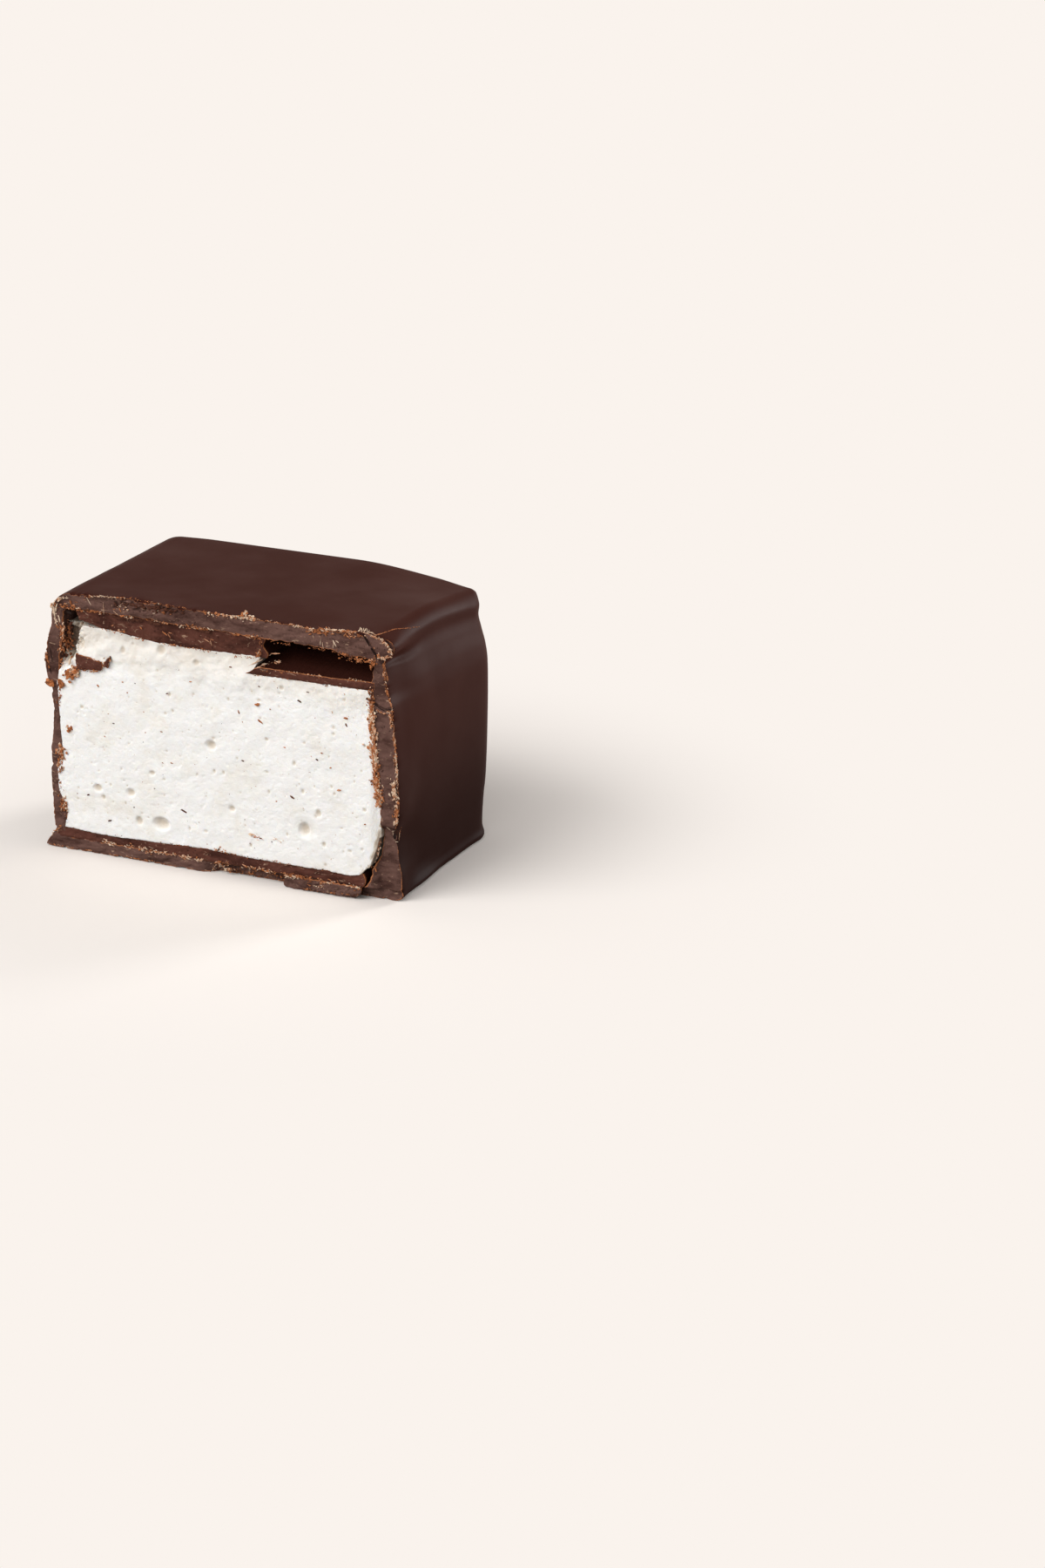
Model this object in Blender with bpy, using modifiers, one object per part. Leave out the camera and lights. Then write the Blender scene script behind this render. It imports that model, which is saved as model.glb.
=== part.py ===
"""Half of a chocolate-coated marshmallow, cut through with a knife.

A slab of marshmallow carries a plate of dark chocolate above and below. It was cut into blocks,
and each block was then dipped, so a coating wraps the plates and the marshmallow. The knife
opened the front: it snapped the upper plate on the right and pushed that shard down into the
marshmallow, cracked a chip off the coating's upper corner, and broke the underside's rim.

Frame: +Z up, +X to the right along the cut, +Y away from the cut. The origin is on the
underside, below the middle of the whole. Sizes are in millimetres until MM turns them to metres.
"""

import math

import bmesh
import bpy
from mathutils import Matrix, Vector

MM = 0.001

# The dipped block. It is modelled a little past the knife, which then takes the rest away.
HALF_WIDTH = 15.0
HEIGHT = 21.7
BACK = 9.0
CUT = -9.2
PAST_KNIFE = 3.0
WELL_PAST = 30.0
EDGE_ROUND = 2.2
GRID_CELLS = 24

# How the dipped outside strays from a true block.
FOOT_FLARE = 1.0
FOOT_HEIGHT = 1.6
SIDE_SWELL = 0.45
SHOULDER_SWELL = 0.55
NECK_DEPTH = 0.5
BACK_SWELL = 0.5
CORNER_SAG = 0.95

# Chocolate and marshmallow, from the underside up. Pieces keep GAP from each other.
GAP = 0.3
COAT_BASE = 0.9
BASE_PLATE = 0.8
TOP_PLATE = 1.5
COAT_TOP = 1.4
COAT_LEFT = 0.9
COAT_RIGHT = 1.55
COAT_BACK = 1.4
CORE_ROUND = 1.1

# The snapped part of the upper plate and the room that it left.
SNAP_X = 3.8
SNAP_DEPTH = 4.4
SHARD_THICK = 0.6
SHARD_TOP = 17.7
SHARD_OVERLAP = 0.9
SHARD_ROUND = 0.12
SHARD_TILT = math.radians(-1.0)

# Breaks along the cut.
CHIP_SIZE = (2.5, 1.3, 3.0)
CHIP_LEAN = math.radians(-52.0)
CHIP_CENTRE = (14.6, 21.3)
LOST_CORNER = (3.2, 1.5, 5.8)
BASE_BREAK_LEFT = -1.5
BASE_BREAK_DEPTH = 1.1
BASE_CHIP = (6.7, 1.3, 0.85)
BASE_CHIP_PROUD = 0.4
BASE_CHIP_X = 8.8
BASE_CHIP_ROUND = 0.22
FLAKE = (2.6, 1.1, 0.8)
FLAKE_CENTRE = (-11.6, 16.1)
FLAKE_TILT = math.radians(9.0)
FLAKE_PROUD = 0.2
FLAKE_ROUND = 0.16

# Levels and walls that follow from the sizes above.
BASE_PLATE_LOW = COAT_BASE + GAP
CORE_LOW = BASE_PLATE_LOW + BASE_PLATE + GAP
COAT_UNDER_TOP = HEIGHT - COAT_TOP
TOP_PLATE_LOW = COAT_UNDER_TOP - GAP - TOP_PLATE
CORE_TOP = TOP_PLATE_LOW - GAP
HOLLOW_LEFT = -HALF_WIDTH + COAT_LEFT
HOLLOW_RIGHT = HALF_WIDTH - COAT_RIGHT
HOLLOW_BACK = BACK - COAT_BACK

DARK_COATING = ("dark_coating", (0.052, 0.022, 0.017), 0.38)
DARK_PLATE = ("dark_plate", (0.068, 0.031, 0.024), 0.55)
MARSHMALLOW = ("marshmallow_foam", (0.87, 0.85, 0.80), 0.85)


def clear_scene():
    for obj in list(bpy.data.objects):
        bpy.data.objects.remove(obj, do_unlink=True)


def new_collection(name):
    collection = bpy.data.collections.new(name)
    bpy.context.scene.collection.children.link(collection)
    return collection


def material(name, colour, roughness):
    found = bpy.data.materials.get(name)
    if found:
        return found
    made = bpy.data.materials.new(name)
    made.use_nodes = True
    shader = made.node_tree.nodes["Principled BSDF"]
    shader.inputs["Base Color"].default_value = (*colour, 1.0)
    shader.inputs["Roughness"].default_value = roughness
    shader.inputs["Metallic"].default_value = 0.0
    return made


def bump(value, centre, reach):
    """1 at the centre, falling smoothly to 0 at reach on either side."""
    left = max(0.0, 1.0 - ((value - centre) / reach) ** 2)
    return left * left


def ramp(value, start, end):
    """0 before start and 1 after end, with a smooth rise between."""
    t = min(1.0, max(0.0, (value - start) / (end - start)))
    return t * t * (3.0 - 2.0 * t)


def between(low, high, share):
    """share runs from -1 to 1. Steps crowd towards both ends, where the surface turns."""
    eased = math.sin(share * math.pi / 2.0)
    return low + (high - low) * (eased + 1.0) / 2.0


def rounded(point):
    """Rounds the upper edges and the upright back corners of the plain block."""
    reach = HALF_WIDTH - EDGE_ROUND
    inner = Vector((
        min(reach, max(-reach, point.x)),
        min(BACK - EDGE_ROUND, point.y),
        min(HEIGHT - EDGE_ROUND, point.z),
    ))
    out = point - inner
    if out.length < 1e-6:
        return point
    return inner + out.normalized() * EDGE_ROUND


def dipped(point):
    """Moves a point of the rounded block to where the set coating leaves it."""
    rear = ramp(point.y, 0.0, BACK)
    outward = SIDE_SWELL * bump(point.z, 8.0, 7.0)
    outward += FOOT_FLARE * max(0.0, 1.0 - point.z / FOOT_HEIGHT) ** 2
    left_bulge = SHOULDER_SWELL * bump(point.z, 16.0, 3.6) * ramp(-point.y, -6.0, 6.0)
    right_neck = NECK_DEPTH * bump(point.z, 19.2, 1.6) * ramp(-point.y, 3.0, 7.0)
    back_bulge = outward + BACK_SWELL * bump(point.z, 14.0, 6.0)
    moved = point.copy()
    if point.x > HALF_WIDTH - EDGE_ROUND:
        moved.x += outward * 0.7 - right_neck
    elif point.x < EDGE_ROUND - HALF_WIDTH:
        moved.x -= outward + left_bulge
    moved.y += back_bulge * ramp(point.y, BACK - EDGE_ROUND, BACK)
    sag = CORNER_SAG * ramp(point.x, 5.0, HALF_WIDTH) * rear
    moved.z -= sag * ramp(point.z, HEIGHT / 2.0, HEIGHT)
    return moved


def link(obj, collection, finish=None):
    collection.objects.link(obj)
    if finish:
        obj.data.materials.append(material(*finish))
    return obj


def block_mesh(name, low, high, cells=1):
    """A cube primitive laid out between two corners, in millimetres, with a grid on each side."""
    mesh = bpy.data.meshes.new(name)
    shape = bmesh.new()
    bmesh.ops.create_cube(shape, size=2.0)
    if cells > 1:
        bmesh.ops.subdivide_edges(
            shape, edges=shape.edges[:], cuts=cells - 1, use_grid_fill=True
        )
    for vertex in shape.verts:
        vertex.co = Vector(between(low[i], high[i], vertex.co[i]) for i in range(3))
    return mesh, shape


def finish_mesh(mesh, shape, smooth=True):
    bmesh.ops.scale(shape, vec=(MM, MM, MM), verts=shape.verts)
    bmesh.ops.recalc_face_normals(shape, faces=shape.faces)
    shape.to_mesh(mesh)
    shape.free()
    if smooth:
        mesh.shade_smooth()
        mesh.set_sharp_from_angle(angle=math.radians(40.0))
    return mesh


def bevelled(obj, width, segments):
    """Rounds the sharp edges of a block."""
    bevel = obj.modifiers.new("rounding", "BEVEL")
    bevel.width = width * MM
    bevel.segments = segments
    bevel.limit_method = "ANGLE"
    bevel.angle_limit = math.radians(50.0)
    return obj


def plain_block(name, low, high):
    mesh, shape = block_mesh(name, low, high)
    return bpy.data.objects.new(name, finish_mesh(mesh, shape, smooth=False))


def centred_block(name, size, place, turn, grow=0.0):
    """A block about its own middle, turned about +Y and then put in place."""
    half = Vector(size) / 2.0 + Vector((grow, grow, grow))
    obj = plain_block(name, -half, half)
    obj.matrix_world = Matrix.Translation(Vector(place) * MM) @ Matrix.Rotation(turn, 4, "Y")
    return obj


def cutter(obj, cutters):
    obj.hide_render = True
    obj.display_type = "WIRE"
    cutters.objects.link(obj)
    return obj


def boolean(obj, other, operation="DIFFERENCE"):
    cut = obj.modifiers.new(other.name, "BOOLEAN")
    cut.operation = operation
    cut.solver = "EXACT"
    cut.object = other
    return obj


def dipped_block(name):
    """The whole outside of the dipped sweet, as one closed block."""
    low = (-HALF_WIDTH, CUT - PAST_KNIFE, 0.0)
    high = (HALF_WIDTH, BACK, HEIGHT)
    mesh, shape = block_mesh(name, low, high, GRID_CELLS)
    for vertex in shape.verts:
        vertex.co = dipped(rounded(vertex.co))
    return bpy.data.objects.new(name, finish_mesh(mesh, shape))


def hollow_block(cutters):
    """The room that the marshmallow and its two plates fill inside the coating."""
    low = (HOLLOW_LEFT, CUT - PAST_KNIFE - 1.0, COAT_BASE)
    high = (HOLLOW_RIGHT, HOLLOW_BACK, COAT_UNDER_TOP)
    return cutter(bevelled(plain_block("hollow", low, high), CORE_ROUND, 3), cutters)


def filling_block(cutters):
    """The marshmallow with its two plates: the hollow less a gap all round."""
    low = (HOLLOW_LEFT + GAP, CUT - PAST_KNIFE, COAT_BASE + GAP)
    high = (HOLLOW_RIGHT - GAP, HOLLOW_BACK - GAP, COAT_UNDER_TOP - GAP)
    return cutter(bevelled(plain_block("filling", low, high), CORE_ROUND - GAP, 3), cutters)


def knife_block(cutters):
    """Everything on the knife's side of the cut."""
    low = (-WELL_PAST, CUT - WELL_PAST, -WELL_PAST)
    high = (WELL_PAST, CUT, WELL_PAST)
    return cutter(plain_block("knife", low, high), cutters)


def chip_block(name, grow=0.0):
    """The leaning wedge of coating that cracked off at the upper right corner."""
    place = (CHIP_CENTRE[0], CUT + CHIP_SIZE[1] / 2.0, CHIP_CENTRE[1])
    return centred_block(name, CHIP_SIZE, place, CHIP_LEAN, grow)


def base_chip_place():
    return (BASE_CHIP_X, CUT - BASE_CHIP_PROUD + BASE_CHIP[1] / 2.0, BASE_CHIP[2] / 2.0)


def flake_place():
    return (FLAKE_CENTRE[0], CUT - FLAKE_PROUD + FLAKE[1] / 2.0, FLAKE_CENTRE[1])


def make_coating(parts, cutters, hollow, knife):
    coating = link(dipped_block("coating"), parts, DARK_COATING)
    boolean(coating, hollow)
    boolean(coating, knife)
    boolean(coating, cutter(chip_block("chip_room", GAP), cutters))
    corner_low = (HALF_WIDTH - LOST_CORNER[0], CUT - 1.0, -1.0)
    corner_high = (WELL_PAST, CUT + LOST_CORNER[1], LOST_CORNER[2])
    boolean(coating, cutter(plain_block("lost_corner", corner_low, corner_high), cutters))
    rim_low = (BASE_BREAK_LEFT, CUT - 1.0, -1.0)
    rim_high = (HALF_WIDTH - LOST_CORNER[0] + 0.5, CUT + BASE_BREAK_DEPTH, COAT_BASE + 0.1)
    boolean(coating, cutter(plain_block("base_break", rim_low, rim_high), cutters))


def make_corner_chip(parts, cutters, hollow, knife):
    chip = link(dipped_block("corner_chip"), parts, DARK_COATING)
    boolean(chip, cutter(chip_block("chip_shape"), cutters), "INTERSECT")
    boolean(chip, hollow)
    boolean(chip, knife)


def make_base_chip(parts):
    chip = centred_block("base_chip", BASE_CHIP, base_chip_place(), 0.0)
    link(bevelled(chip, BASE_CHIP_ROUND, 2), parts, DARK_COATING)


def layer(name, low_z, high_z, filling, knife):
    """One level of the filling, from wall to wall and back from the cut."""
    low = (-HALF_WIDTH, CUT - 1.0, low_z)
    high = (HALF_WIDTH, BACK, high_z)
    sheet = plain_block(name, low, high)
    return boolean(boolean(sheet, filling, "INTERSECT"), knife)


def make_plates(parts, cutters, filling, knife):
    top_high = TOP_PLATE_LOW + TOP_PLATE
    top = link(layer("top_plate", TOP_PLATE_LOW, top_high, filling, knife), parts, DARK_PLATE)
    snap_low = (SNAP_X, CUT - 1.0, TOP_PLATE_LOW - 1.0)
    snap_high = (HALF_WIDTH, CUT + SNAP_DEPTH, COAT_UNDER_TOP)
    boolean(top, cutter(plain_block("snap", snap_low, snap_high), cutters))
    base_high = BASE_PLATE_LOW + BASE_PLATE
    base = link(layer("base_plate", BASE_PLATE_LOW, base_high, filling, knife), parts, DARK_PLATE)
    tip_low = (HALF_WIDTH - LOST_CORNER[0] + GAP, CUT - 1.0, 0.0)
    tip_high = (HALF_WIDTH, CUT + LOST_CORNER[1], base_high + 1.0)
    boolean(base, cutter(plain_block("base_tip", tip_low, tip_high), cutters))


def make_shard(parts):
    """The snapped piece of the upper plate, pushed down into the marshmallow."""
    length = HOLLOW_RIGHT - GAP - SNAP_X + SHARD_OVERLAP
    size = (length, SNAP_DEPTH - 2.0 * GAP, SHARD_THICK)
    place = (
        HOLLOW_RIGHT - GAP - length / 2.0,
        CUT + size[1] / 2.0,
        SHARD_TOP - SHARD_THICK / 2.0,
    )
    shard = centred_block("top_shard", size, place, SHARD_TILT)
    link(bevelled(shard, SHARD_ROUND, 2), parts, DARK_PLATE)
    return place, size


def make_marshmallow(parts, cutters, knife, shard_place, shard_size):
    low = (HOLLOW_LEFT + GAP, CUT - PAST_KNIFE, CORE_LOW)
    high = (HOLLOW_RIGHT - GAP, HOLLOW_BACK - GAP, CORE_TOP)
    core = link(bevelled(plain_block("marshmallow", low, high), CORE_ROUND, 3), parts, MARSHMALLOW)
    boolean(core, knife)
    swing = math.sin(SHARD_TILT) * shard_size[0] / 2.0
    bed_low = (
        shard_place[0] - shard_size[0] / 2.0 - GAP,
        CUT - 1.0,
        SHARD_TOP - SHARD_THICK - GAP - swing,
    )
    bed_high = (HALF_WIDTH, CUT + SNAP_DEPTH, HEIGHT)
    boolean(core, cutter(plain_block("shard_bed", bed_low, bed_high), cutters))
    pocket = centred_block("flake_pocket", FLAKE, flake_place(), FLAKE_TILT, GAP)
    boolean(core, cutter(pocket, cutters))


def make_flake(parts):
    """A crumb of coating that the knife carried down the cut face."""
    flake = centred_block("pressed_flake", FLAKE, flake_place(), FLAKE_TILT)
    link(bevelled(flake, FLAKE_ROUND, 2), parts, DARK_PLATE)


def main():
    clear_scene()
    parts = new_collection("marshmallow_half")
    cutters = new_collection("cutters")
    hollow = hollow_block(cutters)
    filling = filling_block(cutters)
    knife = knife_block(cutters)
    make_coating(parts, cutters, hollow, knife)
    make_corner_chip(parts, cutters, hollow, knife)
    make_base_chip(parts)
    make_plates(parts, cutters, filling, knife)
    shard_place, shard_size = make_shard(parts)
    make_marshmallow(parts, cutters, knife, shard_place, shard_size)
    make_flake(parts)


main()
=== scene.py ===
"""Looks of the chocolate-coated marshmallow half: dipped coating, broken rims, foam and crumbs.

Lengths are in millimetres until finish_piece turns them to metres. The frame is the model's own:
+Z up, +X to the right along the cut, +Y away from the cut, with the origin under the middle.
"""

import bisect
import math
import random

import bmesh
import bpy
from mathutils import Matrix, Vector, kdtree, noise


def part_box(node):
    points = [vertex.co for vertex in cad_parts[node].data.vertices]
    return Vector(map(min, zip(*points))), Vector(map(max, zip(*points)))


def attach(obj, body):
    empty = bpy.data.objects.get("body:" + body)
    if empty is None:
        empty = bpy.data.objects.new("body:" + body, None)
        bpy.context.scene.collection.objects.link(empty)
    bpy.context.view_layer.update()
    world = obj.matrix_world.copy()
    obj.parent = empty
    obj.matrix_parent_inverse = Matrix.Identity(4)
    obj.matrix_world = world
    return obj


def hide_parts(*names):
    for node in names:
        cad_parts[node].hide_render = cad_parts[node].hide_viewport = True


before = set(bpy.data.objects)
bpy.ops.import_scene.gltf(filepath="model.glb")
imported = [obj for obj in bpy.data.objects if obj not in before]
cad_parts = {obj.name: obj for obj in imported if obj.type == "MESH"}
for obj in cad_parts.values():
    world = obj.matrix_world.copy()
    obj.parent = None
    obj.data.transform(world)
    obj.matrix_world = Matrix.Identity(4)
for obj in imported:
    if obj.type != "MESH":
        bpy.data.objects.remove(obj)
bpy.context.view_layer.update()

MM = 0.001


def box_mm(node):
    low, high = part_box(node)
    return low / MM, high / MM


SHELL_HIGH = box_mm("coating")[1]
FOAM_LOW, FOAM_HIGH = box_mm("marshmallow")
PLATE_LOW, PLATE_HIGH = box_mm("top_plate")
SHARD_LOW = box_mm("top_shard")[0]

# Walls and levels that the construction sets.
GAP = 0.3
CUT = FOAM_LOW.y
TOP = SHELL_HIGH.z
LEFT = FOAM_LOW.x - GAP - 0.9
RIGHT = FOAM_HIGH.x + GAP + 1.55
BACK = FOAM_HIGH.y + GAP + 1.4
INNER_LEFT = FOAM_LOW.x - GAP
INNER_RIGHT = FOAM_HIGH.x + GAP
INNER_BACK = FOAM_HIGH.y + GAP
UNDER_TOP = TOP - 1.5
OVER_BASE = 1.0
MIDDLE = Vector((0.0, 0.0, TOP / 2.0))

# Shape of the dipped outside. Each table gives how far the wall stands out at a height or place.
FRONT_RADII = (0.5, 1.0, 1.9, 0.15)
BACK_RADII = (0.6, 1.8, 2.0, 0.4)
BLEND_DEPTH = 5.0
RIGHT_AT_CUT = (
    (0.0, 0.35), (2.0, 0.3), (3.5, 0.05), (5.2, -0.1), (6.6, 0.2), (8.0, 0.42), (10.0, 0.35),
    (12.0, 0.2), (14.0, 0.1), (16.0, -0.1), (17.0, -0.4), (18.2, -0.62), (19.2, -0.8), (19.9, -0.25),
    (20.6, -0.05),
)
RIGHT_BEHIND = (
    (0.0, -0.12), (0.4, -0.17), (1.2, -0.29), (3.5, -0.17), (5.5, 0.04), (9.0, 0.19), (13.0, 0.26),
    (15.5, 0.26), (17.0, 0.16), (18.6, -0.12), (19.8, -0.32), (20.8, -0.15),
)
LEFT_AT_CUT = (
    (0.0, 1.5), (0.35, 1.3), (0.9, 0.95), (1.8, 0.52), (4.0, 0.6), (6.0, 0.66), (8.0, 0.58), (10.0, 0.36),
    (12.0, 0.2), (13.0, 0.35), (14.0, 0.62), (15.5, 0.82), (17.0, 0.74), (18.0, 0.4), (19.2, 0.1),
)
LEFT_BEHIND = ((0.0, 0.6), (1.2, 0.1), (4.0, 0.2), (9.0, 0.42), (14.0, 0.5), (17.5, 0.3), (20.0, 0.0))
TOP_AT_CUT = (
    (-13.0, -0.1), (-11.0, 0.0), (-8.0, 0.12), (-3.0, -0.02), (2.0, -0.05), (6.0, -0.1), (9.0, -0.15),
    (11.5, 0.02), (13.0, -0.05), (14.5, -0.3),
)
BACK_EDGE_RADII = {"right": 3.0, "left": 2.4, "top": 1.3, "under": 0.5}
BACK_BOW = 0.3
BACK_FOOT = 0.1
CORNER_SAG = 1.0
# The groove and the fold in the dipped skin beside the cut's upper right corner.
GROOVE_LEVEL = 19.55
GROOVE_DEPTH = 0.33
SIDE_SHARES = (0.27, 0.19, 0.255, 0.165)
CORNER_SHARES = (0.025, 0.035, 0.04, 0.02)
AROUND = 960
WALL_STEPS = 30
RIM_STEPS = 24

# The hollow that the filling sits in, seen at the cut.
INNER_RADII = (1.3, 0.35, 0.6, 0.2)
INNER_RIGHT_AT_CUT = (
    (1.0, -0.6), (2.4, -0.5), (4.0, 0.15), (6.0, 0.35), (8.0, 0.3), (10.0, 0.1), (13.0, -0.1),
    (15.0, -0.4), (17.0, -0.42), (19.5, -0.1),
)
INNER_LEFT_AT_CUT = (
    (1.0, -0.5), (2.0, -0.4), (3.6, -0.1), (5.0, -0.75), (6.5, -0.8), (8.0, -0.3), (10.0, -0.4),
    (12.0, -0.5), (14.0, -0.6), (16.0, -0.45), (19.0, 0.0),
)
UNDER_TOP_AT_CUT = (
    (-13.0, 0.1), (-6.0, 0.08), (0.0, 0.0), (6.0, -0.1), (9.8, -0.2), (10.6, -0.5), (13.0, -0.5),
)

# Breaks in the rim: how far the broken face lies behind the cut.
LOST_CORNER_DEPTH = 0.6
BASE_BREAK_DEPTH = 0.75
CHIP_BREAK_DEPTH = 0.4
CRACK_TOP = (12.35, 21.7)
CRACK_FOOT = (13.6, 19.95)
RIM_CRACKS = (
    (((13.1, 16.35), (13.7, 15.95), (14.3, 15.75), (14.8, 15.95), (15.2, 16.2)), 0.1, 0.4),
    (((13.6, 6.45), (14.1, 6.15), (14.6, 5.9)), 0.08, 0.25),
    (((-15.9, 13.9), (-15.4, 13.75), (-14.6, 14.0)), 0.1, 0.2),
)
RIM_HOLLOW = (14.82, 5.5, 0.27, 0.46, 0.7)

# Filling at the cut.
FOAM_TOP_AT_CUT = (
    (-14.0, 18.9), (-10.5, 18.9), (-8.0, 18.65), (-6.0, 18.45), (-2.0, 18.38), (1.0, 18.45), (2.3, 18.5),
    (2.8, 17.2), (4.0, 17.12), (8.0, 17.1), (13.0, 17.15),
)
FOAM_UNDER_AT_CUT = (
    (-14.5, 1.85), (-11.0, 1.7), (-7.0, 1.8), (-1.0, 1.95), (2.0, 1.85), (8.0, 1.85), (11.0, 1.8),
    (11.9, 2.0), (12.35, 2.4), (12.8, 2.95), (13.1, 3.6), (13.35, 4.4), (13.55, 5.2),
)
FOAM_PITS = (
    (-5.7, 3.45, 0.72), (7.2, 5.1, 1.1), (7.1, 4.95, 0.6), (-7.7, 3.4, 0.4), (-8.4, 5.65, 0.42),
    (-11.4, 5.6, 0.42), (-1.05, 10.7, 0.5), (8.35, 6.5, 0.34), (0.7, 5.7, 0.32), (-6.4, 7.6, 0.28),
    (8.8, 4.0, 0.25), (-10.9, 4.9, 0.25), (2.3, 2.9, 0.2), (6.3, 10.3, 0.22), (-4.6, 14.4, 0.22),
    (-5.3, 17.9, 0.45), (-8.8, 17.4, 0.3), (-2.2, 17.3, 0.3), (5.3, 16.3, 0.25), (12.4, 7.4, 0.2),
    (-0.8, 8.6, 0.2), (7.0, 8.1, 0.22), (-12.6, 12.2, 0.2), (3.9, 11.9, 0.2),
)
SMALL_PITS = 220
# Where the foam meets the wall at the lower right: it gets painted shade along this line.
PAINTED_SHADE_EDGE = ((12.0, 1.9), (12.6, 2.5), (13.1, 3.5), (13.4, 4.6), (13.65, 6.2))
TEAR_LEFT = (-14.5, 17.7)
STEP_X = 3.1
STEP_LEAN = 0.75


def mix(a, b, share):
    return a + (b - a) * share


def ramp(value, start, end):
    """0 before start and 1 after end, with a smooth rise between."""
    t = min(1.0, max(0.0, (value - start) / (end - start)))
    return t * t * (3.0 - 2.0 * t)


def hump(value, centre, reach):
    """1 at the centre, falling smoothly to 0 at reach on either side."""
    left = max(0.0, 1.0 - ((value - centre) / reach) ** 2)
    return left * left


def slope_at(table, k):
    """The slope of a smooth line at a row of its table; level at the ends and where it turns back."""
    if k == 0 or k == len(table) - 1:
        return 0.0
    before = (table[k][1] - table[k - 1][1]) / (table[k][0] - table[k - 1][0])
    after = (table[k + 1][1] - table[k][1]) / (table[k + 1][0] - table[k][0])
    if before * after <= 0.0:
        return 0.0
    return 2.0 * before * after / (before + after)


def along(table, place):
    """Reads a table of (place, size) rows as a smooth line through all of them."""
    k = bisect.bisect(table, (place, math.inf))
    if k == 0:
        return table[0][1]
    if k == len(table):
        return table[-1][1]
    (start, first), (end, last) = table[k - 1], table[k]
    reach = end - start
    t = (place - start) / reach
    lean = slope_at(table, k - 1) * t * (1.0 - t) ** 2 - slope_at(table, k) * t * t * (1.0 - t)
    return mix(first, last, t * t * (3.0 - 2.0 * t)) + reach * lean


def grain(x, y, z, size, layers=3):
    """Cloudy noise from about -1 to 1, with its largest features about size across."""
    return noise.fractal(Vector((x, y, z)) / size, 0.8, 2.1, layers, noise_basis="PERLIN_NEW")


def direction(degrees):
    angle = math.radians(degrees)
    return Vector((math.cos(angle), math.sin(angle)))


def section(t, low, high, radii):
    """A point of a rounded rectangle and its outward direction, as t goes once round from the lower
    left, along the underside first. Radii are for the corners in the order that t meets them."""
    x0, z0 = low
    x1, z1 = high
    places = ((x1, z0, -1, 1), (x1, z1, -1, -1), (x0, z1, 1, -1), (x0, z0, 1, 1))
    centres = [Vector((x + r * dx, z + r * dz)) for (x, z, dx, dz), r in zip(places, radii)]
    for k in range(4):
        if t <= SIDE_SHARES[k]:
            turn = direction(90 * (k - 1))
            start = centres[k - 1] + radii[k - 1] * turn
            end = centres[k] + radii[k] * turn
            return start.lerp(end, t / SIDE_SHARES[k]), turn
        t -= SIDE_SHARES[k]
        if t <= CORNER_SHARES[k]:
            turn = direction(90 * (k - 1) + 90 * t / CORNER_SHARES[k])
            return centres[k] + radii[k] * turn, turn
        t -= CORNER_SHARES[k]
    return centres[3] + radii[3] * direction(270), direction(270)


def outer_section(t, y):
    """The dipped outside at a depth, before the back edges turn in."""
    depth = ramp(y, CUT, CUT + BLEND_DEPTH)
    radii = [mix(a, b, depth) for a, b in zip(FRONT_RADII, BACK_RADII)]
    point, turn = section(t, (LEFT, 0.0), (RIGHT, TOP - 0.05), radii)
    right = mix(along(RIGHT_AT_CUT, point.y), along(RIGHT_BEHIND, point.y), depth)
    right += 0.2 * ramp(y, 4.5, 9.0) * max(0.0, 1.0 - point.y) ** 2
    right += 0.32 * hump(y, -4.2, 3.4) * ramp(-point.y, -2.0, -0.2)
    left = mix(along(LEFT_AT_CUT, point.y), along(LEFT_BEHIND, point.y), depth)
    crown = mix(along(TOP_AT_CUT, point.x), 0.0, depth)
    point.x += max(0.0, turn.x) * right - max(0.0, -turn.x) * left
    point.y += max(0.0, turn.y) * crown
    point.x -= 0.35 * depth * max(0.0, turn.x) * ramp(point.y, 14.0, TOP)
    groove = hump(point.y, GROOVE_LEVEL + 0.08 * math.sin(1.3 * y), 0.65) * ramp(-y, 3.0, 7.5)
    point.x -= GROOVE_DEPTH * groove * max(0.0, turn.x)
    rear = ramp(y, -2.0, BACK)
    sag = CORNER_SAG * rear * ramp(point.x, 3.0, RIGHT) * ramp(point.y, TOP / 2.0, TOP)
    point.y -= sag
    return point, turn


def inner_section(t):
    """The edge of the hollow at the cut."""
    point, turn = section(t, (INNER_LEFT, OVER_BASE), (INNER_RIGHT, UNDER_TOP), INNER_RADII)
    point.x += max(0.0, turn.x) * along(INNER_RIGHT_AT_CUT, point.y)
    point.x += max(0.0, -turn.x) * along(INNER_LEFT_AT_CUT, point.y)
    point.y += max(0.0, turn.y) * along(UNDER_TOP_AT_CUT, point.x)
    return point, turn


def beyond_crack(x, z):
    """How far a point lies to the right of the crack that cuts off the upper right corner."""
    line = (Vector(CRACK_FOOT) - Vector(CRACK_TOP)).normalized()
    return -line.y * (x - CRACK_TOP[0]) + line.x * (z - CRACK_TOP[1])


def to_line(points, x, z):
    """The distance from a point to a line of x, z points."""
    nearest = 100.0
    for a, b in zip(points, points[1:]):
        start, step = Vector(a), Vector(b) - Vector(a)
        share = min(1.0, max(0.0, (Vector((x, z)) - start).dot(step) / step.length_squared))
        nearest = min(nearest, (start + share * step - Vector((x, z))).length)
    return nearest


def cracks(x, z):
    depth = 0.0
    for points, reach, deep in RIM_CRACKS:
        if abs(z - points[0][1]) < 1.5 and abs(x - points[0][0]) < 3.0:
            depth = max(depth, deep * hump(to_line(points, x, z), 0.0, reach))
    cx, cz, wide, tall, deep = RIM_HOLLOW
    return max(depth, deep * hump(math.hypot((x - cx) / wide, (z - cz) / tall), 0.0, 1.15))


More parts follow.
